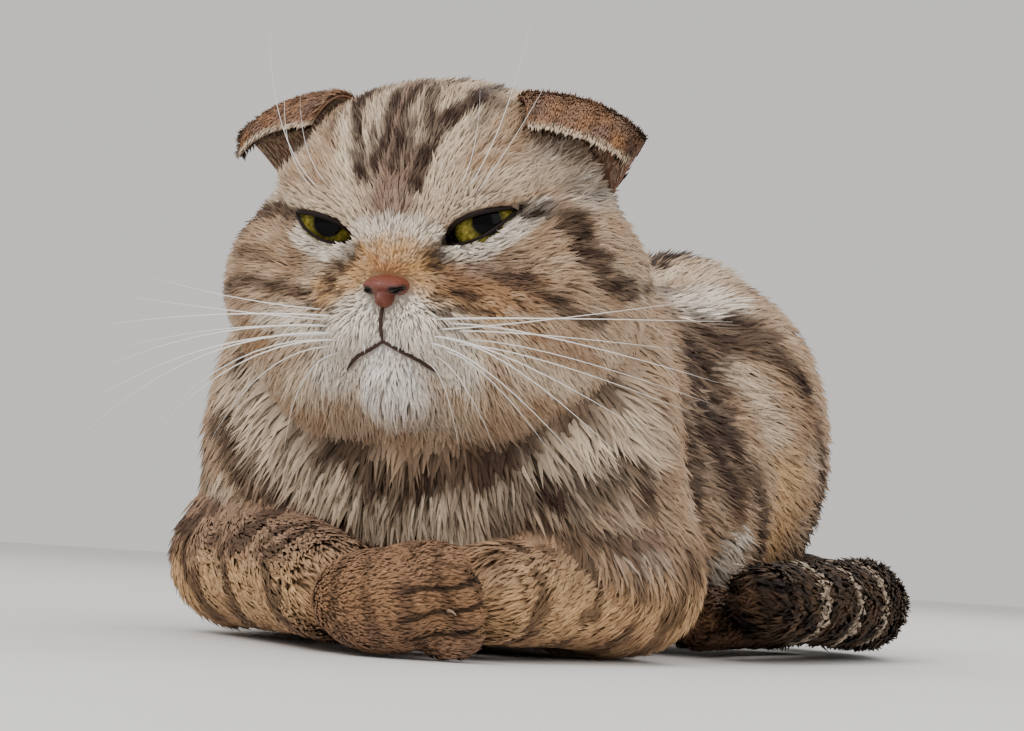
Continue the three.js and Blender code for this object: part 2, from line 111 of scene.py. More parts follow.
# How far the skin lies under the coat's outline
FUR_BODY, FUR_LIMB, FUR_PAW, FUR_TAIL = 7.0, 4.0, 1.5, 7.0

# Tufts on head, trunk, arm, paw, foot and tail: how many to the square millimetre, how long, how wide,
# and how far they rise
TUFT_DENSITY = (1.05, 0.66, 1.1, 1.9, 0.95, 0.8)
TUFT_LENGTH = (11.0, 14.0, 8.0, 3.2, 6.5, 12.0)
TUFT_WIDTH = (1.1, 1.4, 1.05, 0.72, 1.0, 1.45)
TUFT_LIFT = (1, 0.85, 0.5, 0.5, 0.6, 0.75)
PIECE_TUFTS = 19500


def turn(yaw, pitch):
    y, p = math.radians(yaw), math.radians(pitch)
    about_z = np.array([[math.cos(y), -math.sin(y), 0], [math.sin(y), math.cos(y), 0], [0, 0, 1]])
    about_x = np.array([[1, 0, 0], [0, math.cos(p), -math.sin(p)], [0, math.sin(p), math.cos(p)]])
    return about_z @ about_x


HEAD_TURN = turn(8, 14)


def to_head(p):
    return (p - HEAD_AT) @ HEAD_TURN


def from_head(p):
    return np.asarray(p, float) @ HEAD_TURN.T + HEAD_AT


def unit(v):
    return v / np.maximum(np.linalg.norm(v, axis=-1, keepdims=True), 1e-9)


def towards(a, b):
    return unit(np.subtract(b, a).astype(float))


def step(low, high, x):
    t = np.clip((x - low) / (high - low), 0, 1)
    return t * t * (3 - 2 * t)


def ball(p, at, radii, axes=None):
    q = p - np.asarray(at, float)
    if axes is not None:
        q = q @ axes
    r = np.asarray(radii, float)
    near = np.sqrt(((q / r) ** 2).sum(-1))
    slope = np.sqrt(((q / r**2) ** 2).sum(-1))
    return near * (near - 1) / np.maximum(slope, 1e-6)


def cone(p, a, b, ra, rb):
    a, b = np.asarray(a, float), np.asarray(b, float)
    t = np.clip((p - a) @ (b - a) / ((b - a) @ (b - a)), 0, 1)
    return np.linalg.norm(p - a - t[..., None] * (b - a), axis=-1) - (ra + (rb - ra) * t)


def blend(a, b, k):
    h = np.clip(0.5 + 0.5 * (b - a) / k, 0, 1)
    return b + (a - b) * h - k * h * (1 - h)


def field(p, masses, k):
    parts = []
    for kind, at, *rest in masses:
        if kind == "cone":
            parts.append(cone(p, at, *rest))
            continue
        parts.append(ball(p, at, rest[0]))
        if kind == "pair":
            parts.append(ball(p, (-at[0], at[1], at[2]), rest[0]))
    total = parts[0]
    for part in parts[1:]:
        total = blend(total, part, k)
    return total


def bend_at(y):
    return BEND * (y - BEND_FROM) ** 2


def straighten(p):
    q = p.copy()
    q[..., 0] -= bend_at(p[..., 1])
    return q


def only_near(f, p, low, high, margin=26.0):
    """f at the points near a box, and a large distance elsewhere."""
    inside = ((p > np.minimum(low, high) - margin) & (p < np.maximum(low, high) + margin)).all(-1)
    out = np.full(p.shape[:-1], 60.0)
    if inside.any():
        out[inside] = f(p[inside])
    return out


def toe_fan(ahead, tilt):
    """The way the toes are spread: across the paw, leaning up by tilt degrees."""
    lean = math.radians(tilt)
    return -unit(np.cross((0, 0, 1), ahead)) * math.cos(lean) + np.array([0, 0, math.sin(lean)])


def paw_field(p, palm, tip, radii, tilt):
    palm, tip = np.asarray(palm, float), np.asarray(tip, float)
    ahead = unit(tip - palm)
    heading = math.atan2(ahead[1], ahead[0])
    c, s = math.cos(heading), math.sin(heading)
    axes = np.array([[c, -s, 0], [s, c, 0], [0, 0, 1]])
    fan = toe_fan(ahead, tilt)
    total = ball(p, palm, radii, axes)
    for n in (-1.5, -0.5, 0.5, 1.5):
        at = tip + fan * n * TOE_STEP + ahead * (5.5 - 2 * abs(n))
        total = blend(total, ball(p, at, (12, 6.6, 8.4), axes), PAW_BLEND)
    return total


def hind_foot(side):
    heel = np.array(HIND_HEEL, float) * (side, 1, 1)
    toes = np.array(HIND_TOES, float) * (side, 1, 1)
    heel[0] += bend_at(heel[1])
    toes[0] += bend_at(toes[1])
    return heel, toes


def smooth_path(points, per_span):
    pts = [np.asarray(q, float) for q in points]
    pts = [2 * pts[0] - pts[1]] + pts + [2 * pts[-1] - pts[-2]]
    out = []
    for a, b, c, d in zip(pts, pts[1:], pts[2:], pts[3:]):
        for i in range(per_span):
            t = i / per_span
            out.append(0.5 * (2 * b + (c - a) * t + (2 * a - 5 * b + 4 * c - d) * t**2 + (3 * b - a - 3 * c + d) * t**3))
    return np.array(out + [pts[-2]])


TAIL_PATH = smooth_path(TAIL, 6)
_run = np.r_[0, np.cumsum(np.linalg.norm(np.diff(TAIL_PATH, axis=0), axis=1))]
TAIL_S = _run / _run[-1]


def tail_radius(s):
    full = np.interp(s, (0, 0.5, 1), TAIL_R)
    end = np.minimum(np.minimum(s, 1 - s) / 0.075, 1)
    return full * np.sqrt(np.maximum(1 - (1 - end) ** 2, 0.02))


TAIL_WAY = unit(np.gradient(TAIL_PATH, axis=0))


def on_tail(along, values):
    """Values given at the points of the tail's path, read at places along it."""
    return np.stack([np.interp(along, TAIL_S, values[:, i]) for i in range(3)], -1)


def tail_field(p):
    """Distance to the tail, and how far along it the nearest point lies."""
    best = np.full(p.shape[:-1], 60.0)
    along = np.zeros(p.shape[:-1])
    close = ((p > TAIL_PATH.min(0) - 45) & (p < TAIL_PATH.max(0) + 45)).all(-1)
    if close.any() and not close.all():
        best[close], along[close] = tail_field(p[close])
        return best, along
    for a, b, s0, s1 in zip(TAIL_PATH, TAIL_PATH[1:], TAIL_S, TAIL_S[1:]):
        t = np.clip((p - a) @ (b - a) / ((b - a) @ (b - a)), 0, 1)
        s = s0 + (s1 - s0) * t
        d = np.linalg.norm(p - a - t[..., None] * (b - a), axis=-1) - tail_radius(s)
        along = np.where(d < best, s, along)
        best = np.minimum(best, d)
    return best, along


def lid_outline(side, grow=0.0, count=14):
    """Points round the opening between the lids of one eye, as |x|, z in the head's frame."""
    inner, upper, outer, lower = LIDS[side]
    def bezier(a, b, c, d):
        t = np.linspace(0, 1, count, endpoint=False)[:, None]
        a, b, c, d = (np.array(v, float) for v in (a, b, c, d))
        return (1 - t) ** 3 * a + 3 * (1 - t) ** 2 * t * b + 3 * (1 - t) * t**2 * c + t**3 * d
    up = bezier(inner, *upper, outer)
    down = bezier(outer, lower[1], lower[0], inner)
    ring = np.concatenate([up, down])
    if grow:
        along = np.roll(ring, -1, 0) - np.roll(ring, 1, 0)
        ring = ring + unit(np.stack([-along[:, 1], along[:, 0]], 1)) * grow
    return ring


def outline_distance(x, z, ring):
    """Signed distance in a plane to a closed ring: negative inside."""
    best = np.full(x.shape, 1e3)
    inside = np.zeros(x.shape, bool)
    for (ax, az), (bx, bz) in zip(ring, np.roll(ring, -1, 0)):
        dx, dz = bx - ax, bz - az
        t = np.clip(((x - ax) * dx + (z - az) * dz) / (dx * dx + dz * dz + 1e-9), 0, 1)
        best = np.minimum(best, np.hypot(x - ax - t * dx, z - az - t * dz))
        crosses = (az > z) != (bz > z)
        inside ^= crosses & (x < ax + (z - az) * dx / (dz if dz else 1e-9))
    return np.where(inside, -best, best)


REGIONS = ("head", "trunk", "leg_left", "leg_right", "paw_left", "paw_right", "foot_left", "foot_right",
    "tail")


def foot_field(p, heel, toes):
    leg = cone(p, heel, toes, HEEL_R, TOE_R)
    return blend(leg, paw_field(p, toes + (heel - toes) * 0.12, toes, (22, 16, 14), 0), PAW_BLEND)


def region_fields(p):
    """The distance to each region's outline, and the depth of coat over it."""
    h = to_head(p)
    head = field(h, HEAD, HEAD_BLEND)
    out = [head + 2.2 + 3.5 * step(-28, 22, h[..., 1])]
    out.append(field(straighten(p), TRUNK, BODY_BLEND) + FUR_BODY)
    out += [cone(p, *leg) + FUR_LIMB for leg in LEGS]
    for palm, tip, radii, tilt in PAWS:
        paw = lambda q, spec=(palm, tip, radii, tilt): paw_field(q, *spec)
        out.append(only_near(paw, p, np.array(palm), np.array(tip), 50) + FUR_PAW)
    for side in (1, -1):
        heel, toes = hind_foot(side)
        foot = lambda q, a=heel, b=toes: foot_field(q, a, b)
        out.append(only_near(foot, p, heel, toes, 45) + FUR_LIMB)
    out.append(tail_field(p)[0] + FUR_TAIL)
    return np.stack(out, -1)


LID_RINGS = {side: lid_outline(side, 0.5) for side in (1, -1)}


def eye_distance(h, rings):
    """Signed distance to the opening of the eye on the same side of the head."""
    x, z = np.abs(h[..., 0]), h[..., 2]
    return np.where(h[..., 0] > 0, outline_distance(x, z, rings[1]), outline_distance(x, z, rings[-1]))


def skin_field(p):
    parts = region_fields(p)
    total = parts[..., 0]
    for i in range(1, parts.shape[-1]):
        total = blend(total, parts[..., i], 9.0 if i in (2, 3) else 5.0)
    total = np.maximum(total, 0.5 - p[..., 2])
    h = to_head(p)
    x = np.abs(h[..., 0])
    near = (h[..., 1] < -20) & (x > 8) & (x < 42) & (np.abs(h[..., 2] - 6) < 16)
    if near.any():
        d = eye_distance(h[near], LID_RINGS)
        total[near] = np.maximum(total[near], -np.maximum(d, h[..., 1][near] - (EYE_AT[1] + 3)))
    return total


def gradient(f, p, e=0.6):
    g = np.stack([f(p + d) - f(p - d) for d in np.eye(3) * e], -1)
    return unit(g)


def surface_net(f, low, high, cell, coarse=4):
    """A closed quad mesh of f = 0, evaluated only in blocks near the surface."""
    low = np.asarray(low, float)
    n = (np.ceil((np.asarray(high) - low) / cell / coarse).astype(int)) * coarse + 1
    axes = [low[i] + cell * np.arange(n[i]) for i in range(3)]
    mid = [a[:: coarse] for a in axes]
    rough = f(np.stack(np.meshgrid(*mid, indexing="ij"), -1).reshape(-1, 3)).reshape([len(m) for m in mid])
    close = np.abs(rough) < cell * coarse * 2.1 + 2
    values = np.repeat(np.repeat(np.repeat(rough, coarse, 0), coarse, 1), coarse, 2)[: n[0], : n[1], : n[2]]
    mask = np.repeat(np.repeat(np.repeat(close, coarse, 0), coarse, 1), coarse, 2)[: n[0], : n[1], : n[2]]
    ids = np.argwhere(mask)
    values[tuple(ids.T)] = f(low + ids * cell)
    inside = values < 0
    corners = np.stack([inside[i : n[0] - 1 + i, j : n[1] - 1 + j, k : n[2] - 1 + k]
                        for i in (0, 1) for j in (0, 1) for k in (0, 1)])
    count = corners.sum(0)
    cells = np.argwhere((count > 0) & (count < 8))
    number = np.full(count.shape, -1)
    number[tuple(cells.T)] = np.arange(len(cells))
    total = np.zeros((len(cells), 3))
    weight = np.zeros(len(cells))
    offsets = [(i, j, k) for i in (0, 1) for j in (0, 1) for k in (0, 1)]
    for a in offsets:
        for axis in range(3):
            if a[axis]:
                continue
            b = tuple(v + (i == axis) for i, v in enumerate(a))
            va = values[tuple((cells + a).T)]
            vb = values[tuple((cells + b).T)]
            hit = (va < 0) != (vb < 0)
            t = np.where(hit, va / np.where(hit, va - vb, 1), 0)
            point = np.array(a, float) + t[:, None] * (np.array(b, float) - a)
            total += np.where(hit[:, None], point, 0)
            weight += hit
    points = low + (cells + total / weight[:, None]) * cell
    quads = []
    for axis in range(3):
        u, v = [(1, 2), (2, 0), (0, 1)][axis]
        size = [n[i] - 1 for i in range(3)]
        lo, hi = [slice(1, s) for s in size], [slice(1, s) for s in size]
        lo[axis], hi[axis] = slice(0, n[axis] - 1), slice(1, n[axis])
        a, b = inside[tuple(lo)], inside[tuple(hi)]
        for sign in (True, False):
            at = np.argwhere((a == sign) & (b != sign))
            at = at + [0 if i == axis else 1 for i in range(3)]
            du, dv = np.eye(3, dtype=int)[u], np.eye(3, dtype=int)[v]
            ring = [number[tuple((at - du - dv).T)], number[tuple((at - dv).T)], number[tuple(at.T)],
                number[tuple((at - du).T)]]
            quads.append(np.stack(ring if sign else ring[::-1], 1))
    return points, np.concatenate(quads)


def make_mesh(name, points, faces):
    """faces is an array with one row of corners for each face."""
    mesh = bpy.data.meshes.new(name)
    faces = np.asarray(faces, np.int32)
    sides = faces.shape[1]
    mesh.vertices.add(len(points))
    mesh.vertices.foreach_set("co", (np.asarray(points, np.float32) * MM).ravel())
    mesh.loops.add(faces.size)
    mesh.loops.foreach_set("vertex_index", faces.ravel())
    mesh.polygons.add(len(faces))
    mesh.polygons.foreach_set("loop_start", np.arange(len(faces), dtype=np.int32) * sides)
    mesh.update(calc_edges=True)
    mesh.validate()
    mesh.shade_smooth()
    obj = bpy.data.objects.new(name, mesh)
    bpy.context.scene.collection.objects.link(obj)
    return obj


def set_colour(obj, colours):
    layer = obj.data.color_attributes.new("coat", "FLOAT_COLOR", "POINT")
    layer.data.foreach_set("color", np.c_[colours, np.ones(len(colours))].astype(np.float32).ravel())


def rgb(text):
    """A hex colour as linear values."""
    v = np.array([int(text[i : i + 2], 16) for i in (0, 2, 4)]) / 255
    return np.where(v <= 0.04045, v / 12.92, ((v + 0.055) / 1.055) ** 2.4)


# Materials

def new_material(name, roughness, specular=0.35, **sockets):
    mat = bpy.data.materials.new(name)
    mat.use_nodes = True
    shader = mat.node_tree.nodes["Principled BSDF"]
    shader.inputs["Roughness"].default_value = roughness
    shader.inputs["Specular IOR Level"].default_value = specular
    for key, value in sockets.items():
        shader.inputs[key.replace("_", " ")].default_value = value
    return mat, mat.node_tree, shader


def add_node(tree, kind, **inputs):
    node = tree.nodes.new("ShaderNode" + kind)
    for key, value in inputs.items():
        node.inputs[key.replace("_", " ")].default_value = value
    return node


def plain_material(name, roughness, specular, colour):
    mat, _, shader = new_material(name, roughness, specular)
    shader.inputs["Base Color"].default_value = (*colour, 1)
    return mat


def coat_material(name, roughness, scale, strength):
    """Colour from the coat attribute, with fine clumping in colour and bump."""
    mat, tree, shader = new_material(name, roughness, 0.22)
    paint = tree.nodes.new("ShaderNodeAttribute")
    paint.attribute_name = "coat"
    where = tree.nodes.new("ShaderNodeTexCoord")
    noise = add_node(tree, "TexNoise", Scale=scale, Detail=3)
    tree.links.new(where.outputs["Object"], noise.inputs["Vector"])
    ramp = add_node(tree, "MapRange", To_Min=1 - strength, To_Max=1 + strength)
    tree.links.new(noise.outputs["Fac"], ramp.inputs["Value"])
    mix = tree.nodes.new("ShaderNodeVectorMath")
    mix.operation = "SCALE"
    tree.links.new(paint.outputs["Color"], mix.inputs[0])
    tree.links.new(ramp.outputs["Result"], mix.inputs["Scale"])
    tree.links.new(mix.outputs["Vector"], shader.inputs["Base Color"])
    bump = add_node(tree, "Bump", Strength=0.3, Distance=0.0006)
    tree.links.new(noise.outputs["Fac"], bump.inputs["Height"])
    tree.links.new(bump.outputs["Normal"], shader.inputs["Normal"])
    return mat


FUR = coat_material("fur", 0.72, 900, 0.25)
SKIN = coat_material("skin_under_fur", 0.85, 1400, 0.3)

# Markings: strokes of dark fur, with a few strokes of painted shade, in millimetres


def stroke(x, z, points, width):
    """1 on a line through points of a plane, fading to 0 at its width."""
    best = np.full(x.shape, 1e3)
    for (ax, az), (bx, bz) in zip(points, points[1:]):
        dx, dz = bx - ax, bz - az
        t = np.clip(((x - ax) * dx + (z - az) * dz) / (dx * dx + dz * dz + 1e-9), 0, 1)
        best = np.minimum(best, np.hypot(x - ax - t * dx, z - az - t * dz))
    return 1 - step(width * 0.35, width, best)


def wander(p, scale, seed):
    """Smooth values near -1 to 1 that vary over about scale millimetres."""
    draw = np.random.default_rng(seed)
    total = np.zeros(p.shape[:-1])
    for _ in range(7):
        wave = unit(draw.normal(size=3)) * (2 * math.pi / scale) * draw.uniform(0.7, 1.5)
        total += np.sin(p @ wave + draw.uniform(0, 2 * math.pi))
    return total / 3


COLOURS = {name: rgb(value) for name, value in {
    "cream": "d2bca2", "pale": "ecdfce", "white": "efe7de", "tan": "c0925f", "brown": "946f50",
    "grey": "84695a", "dark": "38271d", "black": "1b120c", "sand": "cfa779", "rust": "ad7b52",
}.items()}

# Face markings, and painted shade below the jaw, in the head's frame as seen from the front: colour, width,
# strength, points as x, z
FACE = [
    ("brown", 26, 0.55, [(-44, 6), (-46, -16)]), ("brown", 26, 0.55, [(44, 8), (48, -16)]),
    ("grey", 13, 0.8, [(0, 40), (0, 19)]), ("grey", 8, 0.75, [(0, 22), (0, 11)]),
    ("brown", 14, 0.5, [(-27, 40), (-30, 22)]), ("brown", 16, 0.55, [(28, 38), (30, 23)]),
    ("cream", 7, 0.9, [(-15, 14), (-15, 24), (-18, 36)]), ("cream", 7, 0.9, [(13, 15), (14, 26), (19, 36)]),
    ("cream", 6, 0.7, [(-8, 44), (-9, 30)]), ("cream", 5, 0.6, [(5, 46), (4, 34)]),
    ("pale", 12, 0.8, [(-42, 30), (-50, 20)]), ("pale", 12, 0.8, [(44, 30), (54, 18)]),
    ("pale", 7, 0.7, [(-10, 5), (0, 6.5), (10, 5)]), ("tan", 9, 0.85, [(-10, -3), (0, -1), (8, -3)]),
    ("rust", 5, 0.8, [(-3, -3), (2, -5)]), ("tan", 8, 0.7, [(-15, -10), (-22, -13)]),
    ("tan", 8, 0.75, [(12, -8), (22, -12), (30, -15)]),
    ("pale", 8, 0.6, [(-40, -22), (-28, -24)]), ("cream", 9, 0.7, [(38, -30), (48, -34)]),
    ("white", 14, 0.95, [(0, -22), (0, -34), (2, -46), (0, -58)]),
    ("pale", 11, 0.9, [(-6, -19), (-15, -27), (-19, -37)]),
    ("pale", 11, 0.9, [(6, -19), (14, -25), (20, -34)]), ("cream", 10, 0.7, [(18, -52), (-12, -54)]),
    ("pale", 4.5, 0.9, [(-31, 4), (-23, -0.5), (-16, 0)]),
    ("pale", 4.5, 0.9, [(16, -1), (25, 0.5), (34, 6), (40, 12)]),
    ("cream", 6, 0.8, [(-36, 15), (-24, 15)]), ("cream", 6, 0.8, [(20, 17), (34, 20), (42, 22)]),
    ("dark", 4.5, 0.75, [(-14, -1), (-17, -5), (-21, -9)]),
    ("dark", 5.5, 0.8, [(12.5, -1), (16, -7), (22, -13)]),
    ("brown", 8, 0.8, [(18, -9), (28, -12), (42, -12)]), ("grey", 6, 0.6, [(24, -5), (38, -6)]),
    ("dark", 3.2, 0.95, [(-17, 41), (-13.5, 31), (-10.5, 21)]), ("dark", 4.6, 0.9, [(-11, 49), (-17, 42)]),
    ("dark", 2.5, 0.9, [(-5, 42), (-4, 32), (-6, 24)]), ("dark", 2.7, 0.9, [(0, 45), (0.5, 34), (-1, 24)]),
    ("dark", 2.4, 0.7, [(-8, 34), (-8, 26)]), ("dark", 2.2, 0.7, [(4, 36), (3, 26)]),
    ("dark", 4.2, 0.95, [(15, 49), (18.5, 42)]), ("dark", 3.6, 1.0, [(14.5, 40), (10, 33), (8, 25), (6, 19)]),
    ("dark", 2.8, 0.8, [(3, 49), (7, 41), (8, 36)]), ("dark", 3, 0.7, [(-3, 50), (-5, 45)]),
    ("dark", 3, 0.5, [(24, 44), (21, 34)]), ("dark", 3, 0.5, [(-25, 42), (-24, 33)]),
    ("dark", 4.2, 0.9, [(38, 11.5), (46, 9), (51, 3), (57, -5), (63, -14)]),
    ("dark", 3.4, 0.85, [(-32, 10), (-42, 10), (-54, 6), (-64, -3)]),
    ("dark", 3.4, 0.8, [(30, -8), (40, -9), (48, -15), (57, -21)]),
    ("dark", 3, 0.7, [(-30, -14), (-40, -12), (-52, -11), (-62, -16)]),
    ("dark", 2.6, 0.6, [(-44, -4), (-56, -4)]), ("dark", 2.6, 0.55, [(44, 18), (54, 12)]),
    ("brown", 5, 0.7, [(42, -26), (54, -33)]), ("brown", 5, 0.7, [(-42, -28), (-55, -34)]),
    # These two brown strokes below the jaw are painted shade on the neck under the jaw.
    ("brown", 5, 0.6, [(28, -50), (44, -46)]), ("brown", 5, 0.6, [(-28, -50), (-44, -46)]),
] + [("dark", 1.5, 0.75, [(side * x, z), (side * (x + 2), z - 0.5)]) for side in (-1, 1) for x, z in (
    (14, -13), (18, -12), (22, -13.5), (15, -17), (19.5, -17), (24, -17.5), (28, -18), (18, -21.5),
    (23, -21.5),
)]

# Chest markings, and the chin's painted shadow, in the body's frame as seen from the front: x, z
CHEST = [
    ("brown", 60, 0.45, [(-60, 60), (100, 50)]),
    # This first dark stroke, just under the chin, is partly the necklace and partly the head's painted shadow
    # on the chest.
    ("dark", 13, 0.85, [(-30, 88), (-20, 74), (0, 62), (20, 53), (42, 49), (62, 57), (76, 68), (84, 78)]),
    ("cream", 11, 0.9, [(-34, 82), (-9, 53), (16, 42), (40, 38), (62, 43), (86, 60), (100, 74)]),
    ("dark", 9, 0.8, [(-42, 70), (-24, 51), (-8, 38), (8, 30), (26, 29), (40, 31)]),
    ("dark", 8, 0.8, [(64, 44), (76, 52), (97, 57)]), ("dark", 10, 0.8, [(66, 30), (78, 37), (98, 40)]),
    ("cream", 9, 0.95, [(-50, 52), (-36, 38), (-20, 28), (-6, 22)]), ("pale", 8, 0.9, [(90, 28), (100, 30)]),
    ("dark", 10, 0.7, [(-60, 60), (-50, 38), (-44, 24)]), ("grey", 10, 0.7, [(102, 44), (100, 20)]),
]

# Flank and haunch markings of the left side as seen from that side: y, z
FLANK = [
    ("brown", 200, 0.5, [(-60, 70), (150, 70)]),
    ("dark", 24, 0.95, [(22, 70), (30, 96), (48, 108)]), ("pale", 14, 0.9, [(58, 134), (76, 138)]),
    ("dark", 10, 0.9, [(64, 122), (84, 120), (100, 104)]), ("cream", 12, 0.8, [(64, 104), (76, 84)]),
    ("dark", 10, 0.85, [(46, 66), (54, 44)]), ("sand", 22, 0.9, [(86, 62), (78, 34)]),
    ("pale", 12, 0.85, [(30, 40), (22, 24)]), ("dark", 9, 0.8, [(108, 88), (122, 66), (120, 40)]),
    ("dark", 12, 0.9, [(-14, 112), (0, 84), (-6, 52)]), ("cream", 10, 0.8, [(-28, 100), (-22, 64)]),
    ("dark", 10, 0.85, [(-48, 100), (-40, 60)]), ("dark", 10, 0.85, [(130, 124), (152, 92), (150, 60)]),
    ("dark", 8, 0.8, [(90, 150), (128, 142), (150, 118)]),
]

# The back from above: x, y
BACK = [
    ("dark", 9, 0.95, [(2, -80), (0, 0), (4, 100), (18, 185)]),
    ("cream", 7, 0.8, [(17, -70), (13, 0), (17, 110)]),
    ("cream", 7, 0.8, [(-15, -70), (-13, 0), (-9, 110)]), ("dark", 8, 0.85, [(32, -60), (28, 20), (32, 70)]),
    ("dark", 8, 0.85, [(-30, -60), (-28, 20), (-24, 70)]),
]

# The crown and nape in the head's frame from above: x, y
CROWN = [
    ("dark", 4, 0.85, [(-16, -14), (-15, 10), (-20, 50)]), ("dark", 4, 0.85, [(17, -14), (16, 10), (20, 50)]),
    ("dark", 3.5, 0.85, [(-5, -16), (-5, 20), (-7, 56)]), ("dark", 3.5, 0.85, [(6, -16), (5, 20), (7, 56)]),
    ("dark", 4, 0.7, [(-32, 4), (-36, 44)]), ("dark", 4, 0.7, [(32, 4), (36, 44)]),
]


def mix(base, colour, amount):
    return base + (colour - base) * np.clip(amount, 0, 1)[..., None]


def lay_marks_and_shade(out, u, v, marks, where, ragged):
    for name, width, strength, line in marks:
        amount = stroke(u, v, line, width) * strength * where
        out = mix(out, COLOURS[name], amount * (0.95 + 0.25 * ragged))
    return out


def head_paint(h):
    shift = np.stack([wander(h, 8, seed) + 0.6 * wander(h, 3.5, seed + 5) for seed in (1, 2)], -1)
    x, z = h[..., 0] + 0.5 * shift[..., 0], h[..., 2] + 0.5 * shift[..., 1]
    ragged = wander(h, 6, 9)
    out = mix(np.broadcast_to(COLOURS["cream"], h.shape), COLOURS["brown"], 0.28 + 0.22 * wander(h, 11, 5))
    top = step(-12, 2, h[..., 1]) * step(26, 38, h[..., 2])
    behind = step(-4, 16, h[..., 1]) * (1 - top)
    out = mix(out, COLOURS["dark"], behind * step(0.2, 0.9, np.sin(h[..., 2] / 5.5 + wander(h, 30, 4))) * 0.7)
    out = lay_marks_and_shade(out, x, z, FACE, (1 - top) * (1 - behind), ragged)
    return lay_marks_and_shade(out, x, h[..., 1] + shift[..., 1], CROWN, top, ragged)


def trunk_paint(p):
    shift = np.stack([wander(p, 26, seed) + 0.6 * wander(p, 9, seed + 5) for seed in (11, 12, 13)], -1)
    q = p + 2.6 * shift
    ragged = wander(p, 13, 19)
    out = mix(np.broadcast_to(COLOURS["cream"], p.shape), COLOURS["brown"], 0.35 + 0.25 * wander(p, 22, 15))
    s = straighten(p)
    front = step(-66, -98, s[..., 1] + 0.22 * np.abs(s[..., 0]))
    top = step(0.5, 1.1, (s[..., 2] - 104) / 34) * (1 - front) * step(48, 30, np.abs(s[..., 0]))
    side = (1 - front) * (1 - top)
    out = lay_marks_and_shade(out, q[..., 1], q[..., 2], FLANK, side, ragged)
    out = lay_marks_and_shade(out, q[..., 0] - bend_at(q[..., 1]), q[..., 1], BACK, top, ragged)
    return lay_marks_and_shade(out, q[..., 0], q[..., 2], CHEST, front, ragged)


def limb_paint(p, start, end, base, bands, strength, cover=0.0):
    """Bands across a limb, counted along it from start to end, under a browner cover on its upper side."""
    a, b = np.asarray(start, float), np.asarray(end, float)
    t = (p - a) @ (b - a) / ((b - a) @ (b - a)) + 0.02 * wander(p, 12, 21)
    out = mix(np.broadcast_to(COLOURS[base], p.shape), COLOURS["brown"], 0.25 + 0.3 * wander(p, 9, 22))
    band = step(0.25, 0.7, np.sin(2 * math.pi * bands * t + 1.1 * wander(p, 34, 26)) + 0.6 * wander(p, 13,
        23))
    above = step(16, 34, p[..., 2] + 3 * wander(p, 16, 24)) * cover
    out = mix(out, COLOURS["grey"], above * 0.8)
    out = mix(out, COLOURS["dark"], np.maximum(0.95 * band,
        above * step(0.1, 0.8, wander(p, 15, 25))) * strength)
    # Greyer towards the floor: painted shade where the limb lies on it.
    return mix(out, COLOURS["grey"], step(16, 2, p[..., 2]) * 0.45)


def toe_lines(p, palm, tip, tilt):
    """1 in the three clefts between the toes of a paw, 0 on the toes and behind them."""
    ahead = towards(palm, tip)
    fan = toe_fan(ahead, tilt)
    q = p - np.array(tip, float)
    beside = (q @ fan) / TOE_STEP
    cleft = 1 - step(0.05, 0.2, np.abs(beside - np.clip(np.round(beside), -1, 1)))
    return cleft * step(-9, -1, q @ ahead)


def paint(p):
    """The coat's colour at points on it."""
    near = region_fields(p)
    weight = np.exp(-np.clip(near - near.min(-1, keepdims=True), 0, 30) / 1.5)
    weight /= weight.sum(-1, keepdims=True)
    shades = [head_paint(to_head(p)), trunk_paint(p)]
    shades.append(limb_paint(p, LEGS[0][0], LEGS[0][1], "sand", 3.4, 0.75, 0.75))
    shades.append(limb_paint(p, LEGS[1][0], LEGS[1][1], "sand", 2.6, 0.8, 1.0))
    for (palm, tip, _, tilt), bands in zip(PAWS, (2.0, 1.6)):
        paw = limb_paint(p, palm, tip, "brown", bands, 0.5, 0.35)
        shades.append(mix(paw, COLOURS["black"], toe_lines(p, palm, tip, tilt) * 0.85))
    for side in (1, -1):
        heel, toes = hind_foot(side)
        shades.append(limb_paint(p, heel, toes, "brown", 2.2, 0.6, 0.7))
    along = tail_field(p)[1] + 0.006 * wander(p, 12, 31)
    ring = step(0.62, 0.95, np.sin(2 * math.pi * 8.5 * along + 0.5)) * step(0.93, 0.88, along)
    tail = mix(np.broadcast_to(COLOURS["black"], p.shape), COLOURS["brown"], 0.12 + 0.12 * wander(p, 9, 32))
    shades.append(mix(tail, COLOURS["cream"], ring * 0.6))
    return sum(weight[..., i : i + 1] * shade for i, shade in enumerate(shades))


# Skin
low = np.array(CAD_BOX[0]) / MM - 4
high = np.array(CAD_BOX[1]) / MM + 4
points, quads = surface_net(skin_field, low, high, SKIN_CELL)
for _ in range(2):
    slope = gradient(skin_field, points)
    points = points - slope * np.clip(skin_field(points), -0.8, 0.8)[:, None]
points[:, 2] = np.maximum(points[:, 2], 0.3)
skin = make_mesh("skin", points, quads)
# The skin takes the coat's colour at 0.55: painted shade in the depth between the tufts.
set_colour(skin, paint(points) * 0.55)
skin.data.materials.append(SKIN)
print("skin", len(points), len(quads))


def sample(points, quads, density):
    """Random roots on the skin, as many to the square millimetre as density says."""
    tris = np.concatenate([quads[:, [0, 1, 2]], quads[:, [0, 2, 3]]])
    a, b, c = (points[tris[:, i]] for i in range(3))
    area = np.linalg.norm(np.cross(b - a, c - a), axis=1) / 2
    wanted = area * density((a + b + c) / 3)
    count = np.floor(wanted + RNG.random(len(wanted))).astype(int)
    pick = np.repeat(np.arange(len(tris)), count)
    u, v = RNG.random(len(pick)), RNG.random(len(pick))
    flip = u + v > 1
    u, v = np.where(flip, 1 - u, u)[:, None], np.where(flip, 1 - v, v)[:, None]
    return a[pick] + (b[pick] - a[pick]) * u + (c[pick] - a[pick]) * v


NOSE_TIP = np.array([0, -46.0, -7.0])


